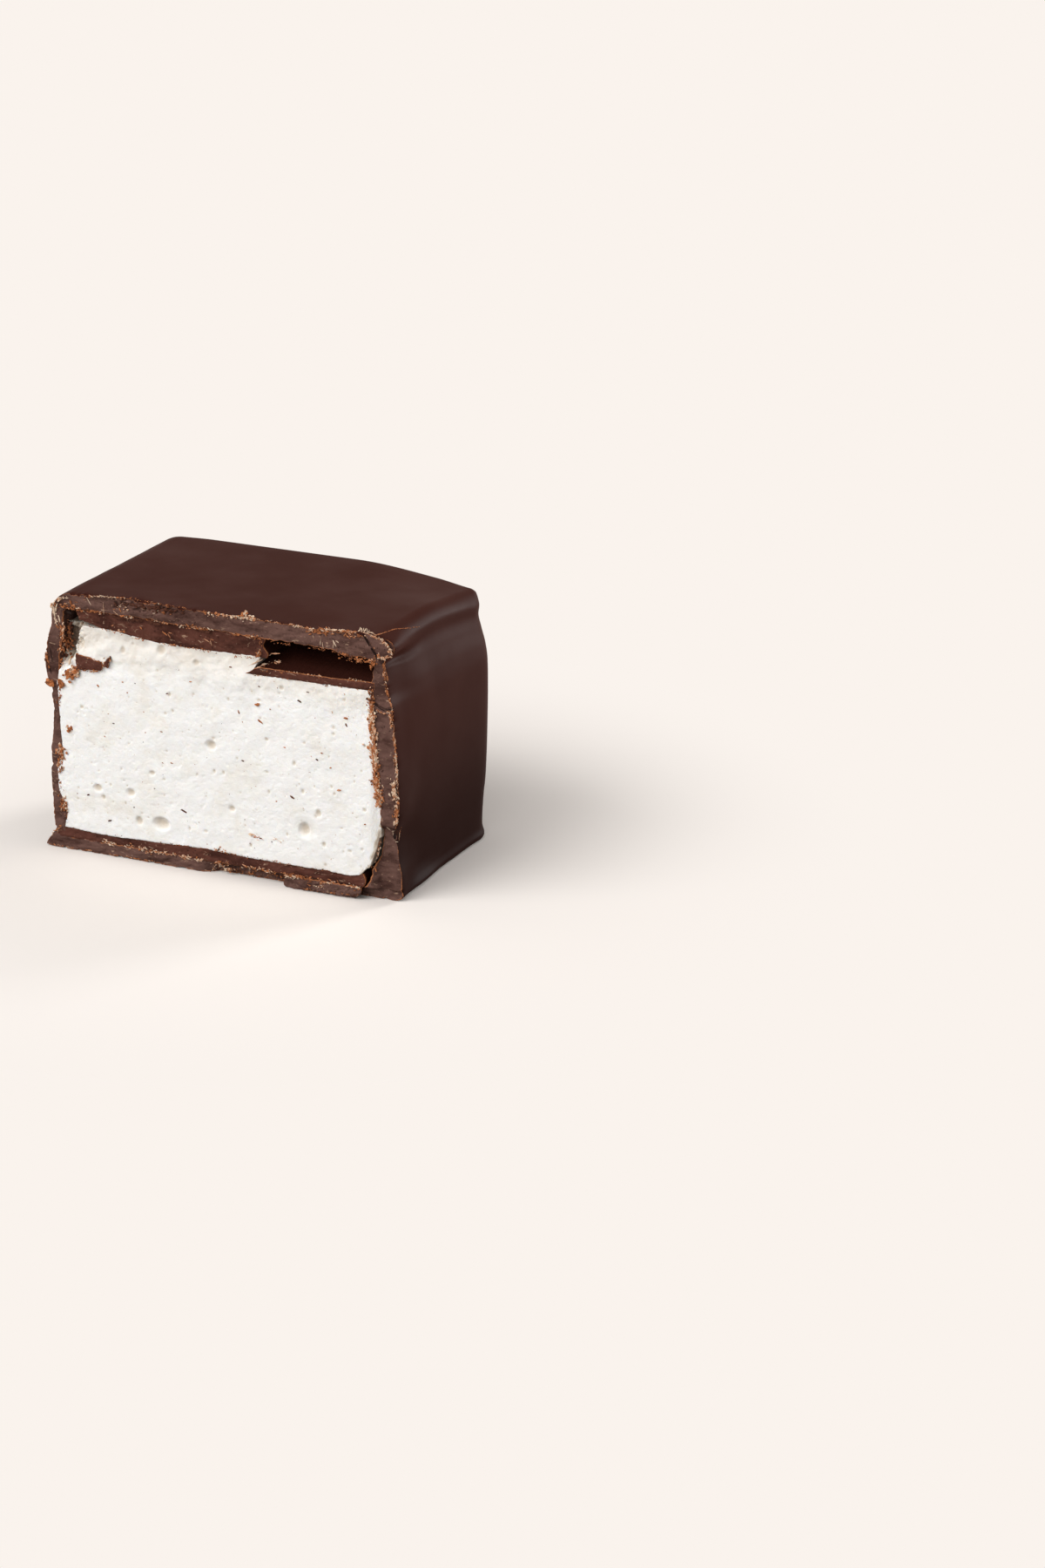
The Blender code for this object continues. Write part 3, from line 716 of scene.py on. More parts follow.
# Crumbs: (line of x, z points, how many, spread, smallest, largest, stretch, tone, height in front).
# Tone 0 is dark chocolate and 1 the palest scraping; below 0 is near-black painted shade.
CRUMB_AND_SHADE_RUNS = (
    (((-12.6, 21.35), (-10.5, 21.62), (-8.0, 21.78)), 50, 0.03, 0.04, 0.07, 3.0, 0.8, 0.02),
    (((-8.0, 21.75), (-4.0, 21.7), (-1.2, 21.6)), 50, 0.05, 0.04, 0.08, 2.0, 0.35, 0.02),
    (((-1.2, 21.5), (0.8, 21.5), (2.0, 21.55), (3.0, 21.6)), 90, 0.10, 0.06, 0.14, 1.6, 0.75, 0.05),
    (((2.0, 21.7), (2.3, 21.95)), 10, 0.06, 0.12, 0.22, 1.4, 0.7, 0.05),
    (((3.0, 21.62), (6.0, 21.55), (8.0, 21.45)), 70, 0.04, 0.05, 0.09, 2.4, 0.7, 0.03),
    (((8.0, 21.45), (10.0, 21.65), (12.0, 21.7)), 70, 0.05, 0.06, 0.13, 2.4, 0.7, 0.04),
    (((7.5, 21.25), (10.0, 21.35), (12.3, 21.4)), 60, 0.09, 0.06, 0.13, 2.6, 0.42, 0.02),
    (((13.0, 21.6), (13.8, 21.4)), 20, 0.05, 0.05, 0.10, 2.0, 0.7, 0.02),
    (((-13.6, 20.25), (-9.0, 20.25), (-2.0, 20.2), (3.8, 20.1)), 150, 0.07, 0.05, 0.11, 2.2, 0.55, 0.03),
    (((-15.0, 20.3), (-14.5, 20.9), (-13.7, 21.1)), 26, 0.08, 0.06, 0.14, 1.8, 0.85, 0.04),
    (((-14.6, 20.2), (-13.9, 20.5), (-12.8, 20.5)), 40, 0.14, 0.06, 0.16, 2.0, 0.4, 0.03),
    (((3.5, 20.05), (3.6, 19.2), (3.2, 18.5)), 34, 0.12, 0.06, 0.14, 1.5, 0.45, 0.02),
    (((-9.6, 19.1), (-8.4, 18.95)), 12, 0.10, 0.05, 0.10, 2.5, 0.75, 0.12),
    (((-12.8, 19.1), (-10.4, 18.95), (-6.0, 18.5), (3.0, 18.45)), 90, 0.05, 0.04, 0.09, 2.0, 0.45, 0.10),
    (((10.4, 19.75), (11.8, 19.5), (13.3, 19.55)), 60, 0.12, 0.07, 0.15, 1.5, 0.5, 0.05),
    (((4.2, 19.95), (7.0, 19.95), (10.4, 19.85)), 40, 0.06, 0.05, 0.10, 1.8, 0.35, 0.02),
    (((2.5, 17.2), (3.4, 17.7), (4.2, 18.2), (5.2, 18.4)), 34, 0.06, 0.04, 0.09, 2.5, 0.75, -0.05),
    (((2.6, 17.2), (6.0, 17.7), (13.0, 17.85)), 60, 0.06, 0.04, 0.10, 2.0, 0.6, 0.0),
    (((3.0, 17.05), (13.0, 17.1)), 40, 0.05, 0.04, 0.08, 1.8, 0.4, 0.0),
    (((13.15, 18.9), (13.3, 19.6)), 20, 0.12, 0.08, 0.18, 1.4, 0.5, 0.05),
    (((13.0, 17.2), (13.1, 16.2), (13.2, 15.0)), 80, 0.14, 0.07, 0.18, 1.5, 0.4, 0.08),
    (((13.15, 15.4), (13.3, 13.0), (13.5, 10.0), (13.75, 8.0)), 400, 0.15, 0.09, 0.24, 1.5, 0.62, 0.10),
    (((13.2, 9.9), (13.6, 9.3), (13.7, 8.2)), 60, 0.16, 0.1, 0.26, 1.4, 0.5, 0.14),
    (((12.9, 2.6), (13.3, 3.7), (13.6, 5.2)), 40, 0.1, 0.05, 0.10, 2.2, 0.6, -0.25),
    (((12.7, 12.6), (13.3, 12.4)), 22, 0.12, 0.08, 0.18, 1.4, 0.7, 0.1),
    (((14.6, 15.9), (15.0, 14.0), (15.15, 12.0), (15.25, 9.9)), 110, 0.06, 0.06, 0.13, 2.4, 0.68, 0.05),
    (((14.9, 9.9), (15.1, 8.4), (15.15, 6.7)), 110, 0.12, 0.07, 0.17, 2.0, 0.78, 0.05),
    (((13.3, 15.75), (14.0, 15.55), (14.9, 15.8)), 30, 0.04, 0.05, 0.10, 2.0, 0.6, 0.03),
    # Near-black strokes: painted shade in the pitted stretch of the top band.
    (((-9.4, 21.15), (-7.6, 21.3), (-5.5, 21.3), (-3.2, 21.2)), 110, 0.13, 0.07, 0.2, 1.7, -0.5, 0.0),
    (((-9.6, 20.9), (-6.0, 21.0), (-3.0, 21.0)), 26, 0.12, 0.05, 0.10, 2.0, 0.7, 0.03),
    # Near-black strokes: painted shadow along the gap under the top band's lower edge.
    (((-9.5, 20.1), (-6.0, 20.08), (-1.0, 20.0)), 60, 0.03, 0.06, 0.14, 3.0, -0.6, 0.02),
    (((14.3, 19.6), (14.2, 18.2), (14.7, 16.6), (14.9, 16.0)), 60, 0.07, 0.06, 0.12, 2.0, 0.5, 0.03),
    (((12.6, 21.6), (13.25, 20.8), (13.9, 20.1)), 14, 0.05, 0.05, 0.11, 1.8, 0.6, 0.03),
    (((13.4, 20.0), (14.2, 19.95), (15.0, 20.2)), 60, 0.09, 0.06, 0.14, 1.6, 0.72, 0.05),
    (((14.0, 21.4), (14.6, 20.9), (14.95, 20.3)), 50, 0.06, 0.06, 0.12, 1.8, 0.75, 0.04),
    (((14.9, 6.2), (15.1, 5.7), (14.95, 5.3)), 20, 0.06, 0.05, 0.11, 1.8, 0.6, -0.9),
    (((13.6, 6.4), (14.4, 6.3), (14.9, 6.3)), 16, 0.05, 0.05, 0.10, 1.8, 0.5, -0.2),
    (((-14.95, 20.2), (-14.65, 19.4), (-14.5, 18.6)), 40, 0.09, 0.07, 0.16, 1.8, 0.95, 0.05),
    (((-14.2, 18.9), (-14.2, 17.4), (-14.4, 15.4)), 60, 0.12, 0.07, 0.17, 1.5, 0.45, 0.05),
    (((-15.75, 16.6), (-15.5, 15.4), (-15.4, 14.4)), 24, 0.08, 0.1, 0.2, 2.0, 0.42, 0.08),
    (((-15.6, 13.9), (-15.3, 13.8)), 14, 0.12, 0.2, 0.42, 1.3, 0.42, 0.15),
    (((-14.5, 14.1), (-14.3, 13.8)), 10, 0.1, 0.16, 0.32, 1.3, 0.42, 0.12),
    (((-15.0, 9.1), (-14.6, 8.0), (-14.8, 6.6)), 70, 0.16, 0.08, 0.2, 1.6, 0.55, 0.1),
    (((-14.6, 4.3), (-14.5, 3.4)), 34, 0.16, 0.08, 0.2, 1.6, 0.5, 0.1),
    (((-13.9, 10.4), (-13.6, 10.1)), 10, 0.12, 0.08, 0.18, 1.5, 0.5, 0.1),
    (((-14.5, 13.9), (-14.6, 12.2)), 30, 0.08, 0.05, 0.12, 1.6, 0.5, 0.05),
    (((-14.8, 5.5), (-14.4, 2.2)), 30, 0.06, 0.05, 0.10, 1.8, 0.3, 0.03),
    (((-15.8, 1.1), (-14.9, 1.8)), 22, 0.06, 0.05, 0.11, 2.0, 0.6, 0.03),
    (((-11.0, 1.2), (-10.2, 1.0)), 24, 0.12, 0.06, 0.12, 1.8, 0.85, 0.06),
    (((-9.0, 1.1), (-7.0, 1.0), (-5.0, 1.05), (-2.0, 1.0)), 110, 0.10, 0.06, 0.12, 2.2, 0.75, 0.05),
    (((-1.4, 1.0), (2.0, 1.05), (6.0, 1.0), (12.0, 1.0)), 120, 0.07, 0.06, 0.13, 2.2, 0.6, 0.05),
    (((-15.6, 0.1), (-9.0, 0.08), (-1.4, 0.08)), 70, 0.03, 0.04, 0.08, 2.6, 0.6, 0.02),
    (((-1.3, 0.2), (-0.9, 0.6), (0.4, 0.5)), 30, 0.12, 0.06, 0.13, 1.5, 0.6, -0.2),
    (((0.0, 0.4), (2.5, 0.35), (5.2, 0.5)), 60, 0.2, 0.06, 0.14, 1.6, 0.3, -0.5),
    (((5.4, 0.92), (7.0, 1.0), (9.0, 0.98), (12.0, 1.08)), 60, 0.06, 0.06, 0.13, 1.9, 0.65, 0.42),
    (((6.4, 0.55), (8.0, 0.6), (11.6, 0.7)), 26, 0.12, 0.05, 0.10, 2.0, 0.6, 0.42),
    (((5.6, 0.2), (9.0, 0.18), (12.0, 0.5)), 40, 0.04, 0.05, 0.09, 2.0, 0.45, 0.42),
    (((-0.9, 2.0), (-0.4, 2.15), (0.2, 2.0)), 20, 0.08, 0.06, 0.12, 1.6, 0.5, 0.05),
    (((-12.0, 1.85), (0.0, 1.95), (11.6, 1.85)), 90, 0.05, 0.04, 0.08, 1.8, 0.3, 0.04),
    (((-13.8, 14.7), (-13.3, 14.9), (-12.8, 15.4)), 90, 0.16, 0.14, 0.34, 1.4, 0.5, 0.2),
    (((-14.0, 16.2), (-14.0, 17.6), (-13.8, 18.9)), 80, 0.22, 0.08, 0.22, 1.5, 0.25, -0.5),
    (((-12.8, 16.6), (-11.6, 16.4), (-10.5, 16.2)), 10, 0.05, 0.05, 0.10, 2.0, 0.4, 0.2),
    (((-12.8, 15.35), (-11.6, 15.4), (-10.6, 15.5)), 22, 0.05, 0.05, 0.12, 2.0, 0.55, 0.25),
    (((-10.4, 16.0), (-9.9, 16.6)), 20, 0.12, 0.07, 0.16, 1.6, 0.55, 0.15),
    (((-13.9, 17.4), (-12.6, 17.4)), 12, 0.3, 0.04, 0.09, 1.5, 0.4, -0.5),
    (((2.3, 3.75), (3.4, 3.7)), 14, 0.08, 0.06, 0.14, 2.2, 0.75, 0.02),
    (((4.4, 3.8), (5.1, 3.7)), 8, 0.08, 0.05, 0.11, 2.4, 0.85, 0.02),
)

# Flecks that the knife left on the foam: (x, z, size, stretch, lean in degrees, tone).
FLECKS = (
    (3.2, 14.65, 0.24, 1.5, 150, 0.35), (3.4, 13.3, 0.17, 2.0, 40, 0.4), (1.5, 13.8, 0.16, 1.6, 70, 0.3),
    (4.3, 14.45, 0.10, 1.2, 0, 0.3), (10.85, 14.65, 0.16, 1.6, 5, 0.4), (10.9, 14.1, 0.13, 1.8, 60, 0.2),
    (7.6, 16.3, 0.12, 1.4, 0, 0.2), (6.9, 15.45, 0.16, 1.5, 10, 0.0), (12.75, 16.5, 0.17, 1.4, 20, 0.05),
    (0.85, 17.35, 0.11, 1.5, 0, 0.2), (3.35, 16.15, 0.10, 1.4, 0, 0.2), (-7.7, 14.85, 0.08, 1.4, 0, 0.0),
    (-2.7, 15.7, 0.10, 1.5, 10, 0.6), (-13.75, 10.2, 0.24, 1.4, 120, 0.35), (1.8, 9.85, 0.12, 1.6, 20, 0.0),
    (8.3, 10.9, 0.11, 1.4, 30, 0.0), (8.75, 11.5, 0.10, 1.5, 20, 0.4), (10.2, 8.7, 0.18, 1.8, 0, 0.7),
    (-9.75, 11.25, 0.10, 1.8, 0, 0.1), (-5.4, 11.2, 0.10, 1.8, 10, 0.3), (-3.6, 4.85, 0.16, 2.0, 20, 0.05),
    (-12.3, 4.9, 0.11, 1.6, 0, 0.0), (-10.4, 3.0, 0.13, 2.0, 165, 0.0), (-8.1, 4.5, 0.08, 1.3, 0, 0.1),
    (4.7, 6.95, 0.09, 1.3, 0, 0.4), (6.1, 7.5, 0.14, 2.0, 25, 0.15), (12.4, 6.25, 0.10, 1.3, 0, 0.4),
    (-11.05, 14.2, 0.11, 1.4, 45, 0.45), (-8.8, 14.8, 0.09, 1.3, 0, 0.7), (-4.8, 14.45, 0.10, 1.6, 160, 0.15),
    (9.45, 10.4, 0.09, 1.4, 0, 0.6), (-6.2, 6.35, 0.08, 1.5, 0, 0.1), (-4.6, 8.7, 0.09, 1.8, 20, 0.3),
    (-5.4, 8.6, 0.08, 1.6, 20, 0.3), (5.5, 11.5, 0.09, 1.6, 20, 0.6), (-10.6, 10.05, 0.08, 1.5, 40, 0.5),
    (4.2, 3.5, 0.07, 1.3, 0, 0.0), (2.2, 3.05, 0.07, 1.3, 0, 0.3), (11.35, 7.0, 0.07, 1.3, 0, 0.5),
    (-1.6, 2.4, 0.07, 1.4, 0, 0.4), (3.0, 17.3, 0.10, 2.0, 0, 0.9), (10.8, 16.6, 0.11, 1.5, 60, 0.8),
    (9.7, 15.0, 0.09, 1.8, 80, 0.8), (-13.3, 4.85, 0.08, 1.4, 0, 0.3), (-7.0, 12.6, 0.08, 1.5, 0, 0.6),
    (-10.2, 12.0, 0.07, 1.4, 0, 0.4), (-6.9, 10.9, 0.07, 1.4, 0, 0.5), (-8.4, 14.0, 0.07, 1.4, 0, 0.4),
)
DUST_COUNT = 60


def add_crumb(shape, tone_layer, rng, place, size, stretch, lean, tone, heading=0.0):
    """One irregular crumb of 20 faces, its length leaning in the cut's plane or heading over the top."""
    roll = Matrix.Rotation(rng.uniform(-0.9, 0.9), 4, "X")
    turn = Matrix.Rotation(heading, 4, "Z") @ Matrix.Rotation(math.radians(lean), 4, "Y") @ roll
    widths = (size * stretch, size * rng.uniform(0.5, 0.9), size * rng.uniform(0.6, 1.0))
    matrix = Matrix.Translation(place) @ turn @ Matrix.Diagonal((*widths, 1.0))
    made = bmesh.ops.create_icosphere(shape, subdivisions=1, radius=0.5, matrix=matrix)["verts"]
    for vertex in made:
        vertex.co += (vertex.co - place) * rng.uniform(-0.45, 0.4)
        vertex[tone_layer] = tone


def on_line(points, share):
    """A place at a share of a line's length, and the lean of the line there."""
    lengths = [(Vector(b) - Vector(a)).length for a, b in zip(points, points[1:])]
    left = share * sum(lengths)
    for (a, b), length in zip(zip(points, points[1:]), lengths):
        if left <= length or b == points[-1]:
            step = Vector(b) - Vector(a)
            return Vector(a) + step * min(1.0, left / length), math.degrees(math.atan2(-step.y, step.x))
        left -= length
    return Vector(points[-1]), 0.0


# The fold in the skin of the upper right corner, from the cut back over the edge.
FOLD = (
    (13.3, -9.15, 21.7), (13.6, -8.0, 21.65), (13.92, -6.6, 21.55), (14.25, -5.4, 21.35), (14.4, -4.7, 21.2),
    (14.55, -3.3, 20.9),
)
FOLD_CRUMBS = 170
# Thin shavings, and near-black strokes of painted shade where the tone is below 0: (x, z, length, width, lean
# in degrees, tone, height in front).
SHAVINGS_AND_SHADE_STROKES = (
    (12.1, 21.85, 0.32, 0.10, -35, 1.0, 0.0), (12.2, 22.0, 0.42, 0.10, -70, 1.0, 0.0),
    (12.35, 21.95, 0.38, 0.10, -105, 0.95, 0.0), (12.5, 22.0, 0.34, 0.10, -80, 1.0, 0.0),
    (12.62, 21.95, 0.40, 0.10, -60, 0.9, 0.0), (12.8, 21.95, 0.36, 0.10, -100, 1.0, 0.0),
    (12.95, 21.9, 0.30, 0.10, -75, 0.9, 0.0), (13.1, 21.85, 0.5, 0.10, 5, 0.85, 0.0),
    (13.4, 21.75, 0.4, 0.06, 12, 0.8, 0.0), (12.6, 21.75, 0.9, 0.08, 8, 0.8, 0.0),
    (-11.6, 21.05, 0.75, 0.06, 55, 0.95, 0.02), (-12.0, 21.15, 0.4, 0.05, 0, 0.7, 0.02),
    (-10.3, 20.7, 1.1, 0.07, 88, 0.8, 0.04), (-9.2, 20.45, 0.7, 0.10, 35, 0.75, 0.05),
    (-8.8, 20.75, 0.5, 0.08, 60, 0.6, 0.05), (-9.6, 20.9, 0.5, 0.06, -60, 0.8, 0.04),
    (8.8, 20.5, 0.75, 0.10, 96, 0.95, 0.04), (9.0, 20.3, 0.5, 0.08, 80, 0.85, 0.04),
    (10.0, 20.6, 0.6, 0.13, 60, 0.98, 0.05), (10.25, 20.75, 0.35, 0.12, 20, 0.98, 0.05),
    (9.9, 20.35, 0.4, 0.06, 100, 0.9, 0.04), (8.2, 20.8, 0.4, 0.05, 70, 0.8, 0.03),
    (-4.9, 19.35, 0.55, 0.10, 30, 0.6, 0.0), (-4.5, 19.2, 0.45, 0.12, 55, 0.65, 0.0),
    (-4.4, 19.45, 0.40, 0.07, 10, 0.6, 0.0), (-1.2, 19.3, 0.7, 0.10, 25, 0.65, 0.0),
    (-0.8, 19.15, 0.5, 0.14, 70, 0.7, 0.0), (-0.7, 19.4, 0.35, 0.07, 10, 0.6, 0.0),
    (-7.0, 19.5, 0.3, 0.10, 40, 0.55, 0.0), (3.0, 18.0, 1.5, 0.12, -28, 0.85, -0.2),
    (3.5, 18.45, 1.4, 0.16, -18, 0.8, -0.5), (4.4, 18.75, 1.2, 0.14, -8, 0.7, -0.8),
    (3.3, 18.3, 0.8, 0.10, -45, 0.9, -0.1), (-13.45, 15.9, 0.9, 0.28, -75, 1.0, 0.2),
    (-13.25, 15.5, 0.6, 0.22, -50, 1.0, 0.22), (-14.6, 20.1, 0.9, 0.20, -80, 1.0, 0.08),
    (-14.35, 19.3, 0.8, 0.18, 75, 0.95, 0.05), (-14.75, 20.6, 0.5, 0.14, -50, 0.95, 0.08),
    (-14.9, 19.7, 0.5, 0.12, 80, 0.8, 0.1), (-14.55, 20.3, 0.7, 0.12, -65, 1.2, 0.1),
    (-14.75, 19.7, 0.9, 0.12, 85, 1.2, 0.1), (-14.7, 19.2, 0.6, 0.18, 80, 1.0, 0.1),
    (-14.0, 20.3, 0.4, 0.1, 20, 0.6, 0.08), (-13.7, 20.6, 0.5, 0.1, -20, 0.7, 0.05),
    (2.6, 3.85, 0.5, 0.08, 15, 0.75, 0.02),
    (2.9, 3.7, 0.6, 0.09, 8, 0.7, 0.03), (3.35, 3.6, 0.4, 0.07, 20, 0.7, 0.02),
    (4.5, 3.85, 0.35, 0.05, 35, 0.85, 0.02), (4.75, 3.75, 0.45, 0.05, 35, 0.85, 0.02),
    (5.0, 3.6, 0.3, 0.05, 40, 0.85, 0.02), (-10.9, 1.35, 0.5, 0.08, 0, 0.85, 0.05),
    (-10.4, 1.2, 0.6, 0.08, -8, 0.85, 0.05), (-10.8, 1.05, 0.45, 0.07, 15, 0.8, 0.05),
    # Near-black strokes: painted shade in the crack near z 16 and in the hollow of the right rim.
    (13.5, 16.1, 0.7, 0.11, 32, -0.8, 0.07), (14.05, 15.82, 0.6, 0.12, 18, -0.8, 0.07),
    (14.55, 15.85, 0.5, 0.12, -20, -0.8, 0.07), (14.95, 16.05, 0.35, 0.11, -35, -0.8, 0.07),
    (14.85, 5.5, 0.6, 0.28, 84, -0.8, -0.2), (14.1, 6.2, 0.95, 0.07, 32, 0.9, -0.3),
    (14.58, 5.4, 0.75, 0.06, 80, 0.95, -0.56), (15.05, 5.4, 0.8, 0.05, 95, 0.75, -0.6),
    (14.85, 4.98, 0.42, 0.1, 0, 1.0, -0.56), (14.6, 5.85, 0.3, 0.07, -20, 0.95, -0.5),
    # Near-black strokes: painted shade along the crack that cuts off the upper right corner.
    (12.72, 21.2, 1.2, 0.2, 55, -0.8, 0.04),
    (13.25, 20.45, 0.9, 0.26, 55, -0.8, 0.04), (13.6, 20.0, 0.35, 0.2, 60, -0.7, 0.08),
    # Near-black strokes: painted shadow in the gap at the upper left and painted shade lines down the left
    # rim.
    (-13.5, 19.9, 0.5, 0.2, 10, -0.6, -0.1), (-15.2, 16.2, 1.2, 0.10, 80, -0.7, 0.06),
    (-15.35, 14.9, 0.7, 0.09, 70, -0.7, 0.06),
)


def wall_left(z):
    return LEFT - along(LEFT_AT_CUT, z) + 0.03


def wall_right(z):
    return RIGHT + along(RIGHT_AT_CUT, z) - 0.03


def join_into(shape, part):
    """Adds a small bmesh to a large one, which is quicker than building in the large one."""
    mesh = bpy.data.meshes.new("part")
    part.to_mesh(mesh)
    part.free()
    shape.from_mesh(mesh)
    bpy.data.meshes.remove(mesh)


def crumb_fold(shape, tones, rng, shell):
    """Lays fine scrapings along the fold, on the shell's own surface, finer towards its far end."""
    for _ in range(FOLD_CRUMBS):
        share = rng.random() ** 1.2
        first = min(len(FOLD) - 2, int(share * (len(FOLD) - 1)))
        a, b = Vector(FOLD[first]), Vector(FOLD[first + 1])
        place = a.lerp(b, share * (len(FOLD) - 1) - first)
        spot = shell.closest_point_on_mesh(place * MM)[1]
        place = spot / MM + Vector([rng.gauss(0.0, 0.02) for _ in range(3)])
        heading = math.atan2(b.y - a.y, b.x - a.x)
        add_crumb(shape, tones, rng, place, rng.uniform(0.05, 0.09) * (1.0 - 0.5 * share), 3.5, 0.0,
                  0.62 - 0.25 * share, heading)


# Crumbs, shavings and near-black strokes of painted shade, all as one piece.
def make_crumbs_and_shade_strokes(material, shell):
    rng = random.Random(5)
    shape = bmesh.new()
    tones = shape.verts.layers.float.new("tone")
    for points, count, spread, small, large, stretch, tone, proud in CRUMB_AND_SHADE_RUNS:
        length = sum((Vector(b) - Vector(a)).length for a, b in zip(points, points[1:]))
        run = bmesh.new()
        run_tones = run.verts.layers.float.new("tone")
        for _ in range(math.ceil(count * CRUMB_COUNT / CLUSTER)):
            centre = rng.random()
            bulk = rng.uniform(0.55, 1.35)
            cluster_tone = tone + rng.gauss(0.0, 0.16)
            for _ in range(rng.randint(CLUSTER - 3, CLUSTER + 3)):
                share = min(1.0, max(0.0, centre + rng.gauss(0.0, CLUSTER_REACH * bulk) / length))
                spot, lean = on_line(points, share)
                place = Vector((
                    spot.x + rng.gauss(0.0, spread * bulk),
                    CUT - proud + rng.uniform(-0.04, 0.10),
                    max(0.16, spot.y + rng.gauss(0.0, spread * bulk)),
                ))
                place.x = min(wall_right(place.z), max(wall_left(place.z), place.x))
                size = mix(small, large, rng.random() ** 1.8) * rng.uniform(0.9, 1.5) * bulk ** 0.5
                shade = min(1.0, max(0.0, cluster_tone + rng.gauss(0.0, 0.14)))
                add_crumb(run, run_tones, rng, place, size, stretch * rng.uniform(0.7, 1.2),
                          lean + rng.gauss(0.0, 28.0), shade)
        join_into(shape, run)
    for x, z, length, width, lean, tone, proud in SHAVINGS_AND_SHADE_STROKES:
        place = Vector((x, CUT - proud, z))
        add_crumb(shape, tones, rng, place, width, length / width, lean, tone)
    crumb_fold(shape, tones, rng, shell)
    piece = finish_piece("rim_crumbs_and_shade_strokes", shape, material, smooth=False)
    return piece


def make_flecks(material, foam):
    rng = random.Random(8)
    shape = bmesh.new()
    tones = shape.verts.layers.float.new("tone")
    spots = list(FLECKS)
    for _ in range(DUST_COUNT):
        spots.append((rng.uniform(-13.0, 12.6), rng.uniform(2.4, 17.0), rng.uniform(0.03, 0.06), 1.4,
                      rng.uniform(0, 180), rng.uniform(0.1, 0.9)))
    for x, z, size, stretch, lean, tone in spots:
        hit, place, _, _ = foam.ray_cast(Vector((x, CUT - 5.0, z)) * MM, (0.0, 1.0, 0.0))
        level = place.y / MM if hit else CUT
        add_crumb(shape, tones, rng, Vector((x, level, z)), size * 1.6, stretch, lean, tone)
    piece = finish_piece("flecks", shape, material, smooth=False)
    return piece


# Finishes. Colours are written as on a screen, 0 to 255, and turned to light by tint.


def tint(red, green, blue):
    def linear(value):
        share = value / 255.0
        return share / 12.92 if share <= 0.04045 else ((share + 0.055) / 1.055) ** 2.4

    return (linear(red), linear(green), linear(blue), 1.0)


COAT = tint(62, 31, 24)
COAT_DARK = tint(57, 27, 20)
# Painted shade: the dipped skin darkens to this colour towards the bottom.
COAT_PAINTED_LOW_SHADE = tint(34, 13, 8)
BROKEN = tint(106, 78, 70)
BROKEN_DARK = tint(58, 36, 31)
SCRAPED = tint(190, 156, 130)
RIDGE = tint(188, 120, 78)
PLATE = tint(92, 55, 45)
PLATE_DARK = tint(50, 26, 20)
# Painted shade for the drawn-back sides of plates, such as the sunken shard's top in the gap.
PLATE_PAINTED_SHADE = tint(48, 20, 13)
# Painted shade: the near-black of strokes laid in cracks and gaps, for tones below 0.
CRUMB_PAINTED_SHADE = tint(30, 15, 11)
CRUMB_DARK = tint(80, 46, 33)
CRUMB_MID = tint(180, 110, 66)
CRUMB_PALE = tint(222, 196, 170)
FOAM = tint(254, 252, 248)
FOAM_SHADE = tint(243, 237, 228)
# Painted shade for recesses, bubbles and the foam under the top plate.
FOAM_PAINTED_SHADE_SOFT = tint(212, 200, 184)
# Painted deep shade for the deep tear and the edge beside the lower right wall.
FOAM_PAINTED_SHADE_DEEP = tint(150, 128, 110)
FLOOR_BOUNCE = tint(120, 114, 108)
BACKDROP = tint(250, 243, 237)


def add_node(tree, kind, values=(), **settings):
    """A shader node with its settings, and its inputs by name or number."""
    made = tree.nodes.new(kind)
    for name, value in settings.items():
        setattr(made, name, value)
    for name, value in dict(values).items():
        made.inputs[name].default_value = value
    return made


def noise_node(tree, vector, scale, detail=4.0, roughness=0.6, distortion=0.0):
    made = add_node(
        tree, "ShaderNodeTexNoise",
        {"Scale": scale, "Detail": detail, "Roughness": roughness, "Distortion": distortion},
    )
    tree.links.new(vector, made.inputs["Vector"])
    return made.outputs[0]


def mask_node(tree, value, start, end, low=0.0, high=1.0):
    made = add_node(
        tree, "ShaderNodeMapRange",
        {"From Min": start, "From Max": end, "To Min": low, "To Max": high},
        interpolation_type="SMOOTHSTEP",
    )
    tree.links.new(value, made.inputs["Value"])
    return made.outputs[0]


def mix_colours(tree, factor, first, second):
    made = add_node(tree, "ShaderNodeMix", data_type="RGBA")
    for socket, value in ((0, factor), (6, first), (7, second)):
        if isinstance(value, bpy.types.NodeSocket):
            tree.links.new(value, made.inputs[socket])
        else:
            made.inputs[socket].default_value = value
    return made.outputs[2]


def combine(tree, operation, first, second):
    made = add_node(tree, "ShaderNodeMath", operation=operation)
    for socket, value in enumerate((first, second)):
        if isinstance(value, bpy.types.NodeSocket):
            tree.links.new(value, made.inputs[socket])
        else:
            made.inputs[socket].default_value = value
    return made.outputs[0]


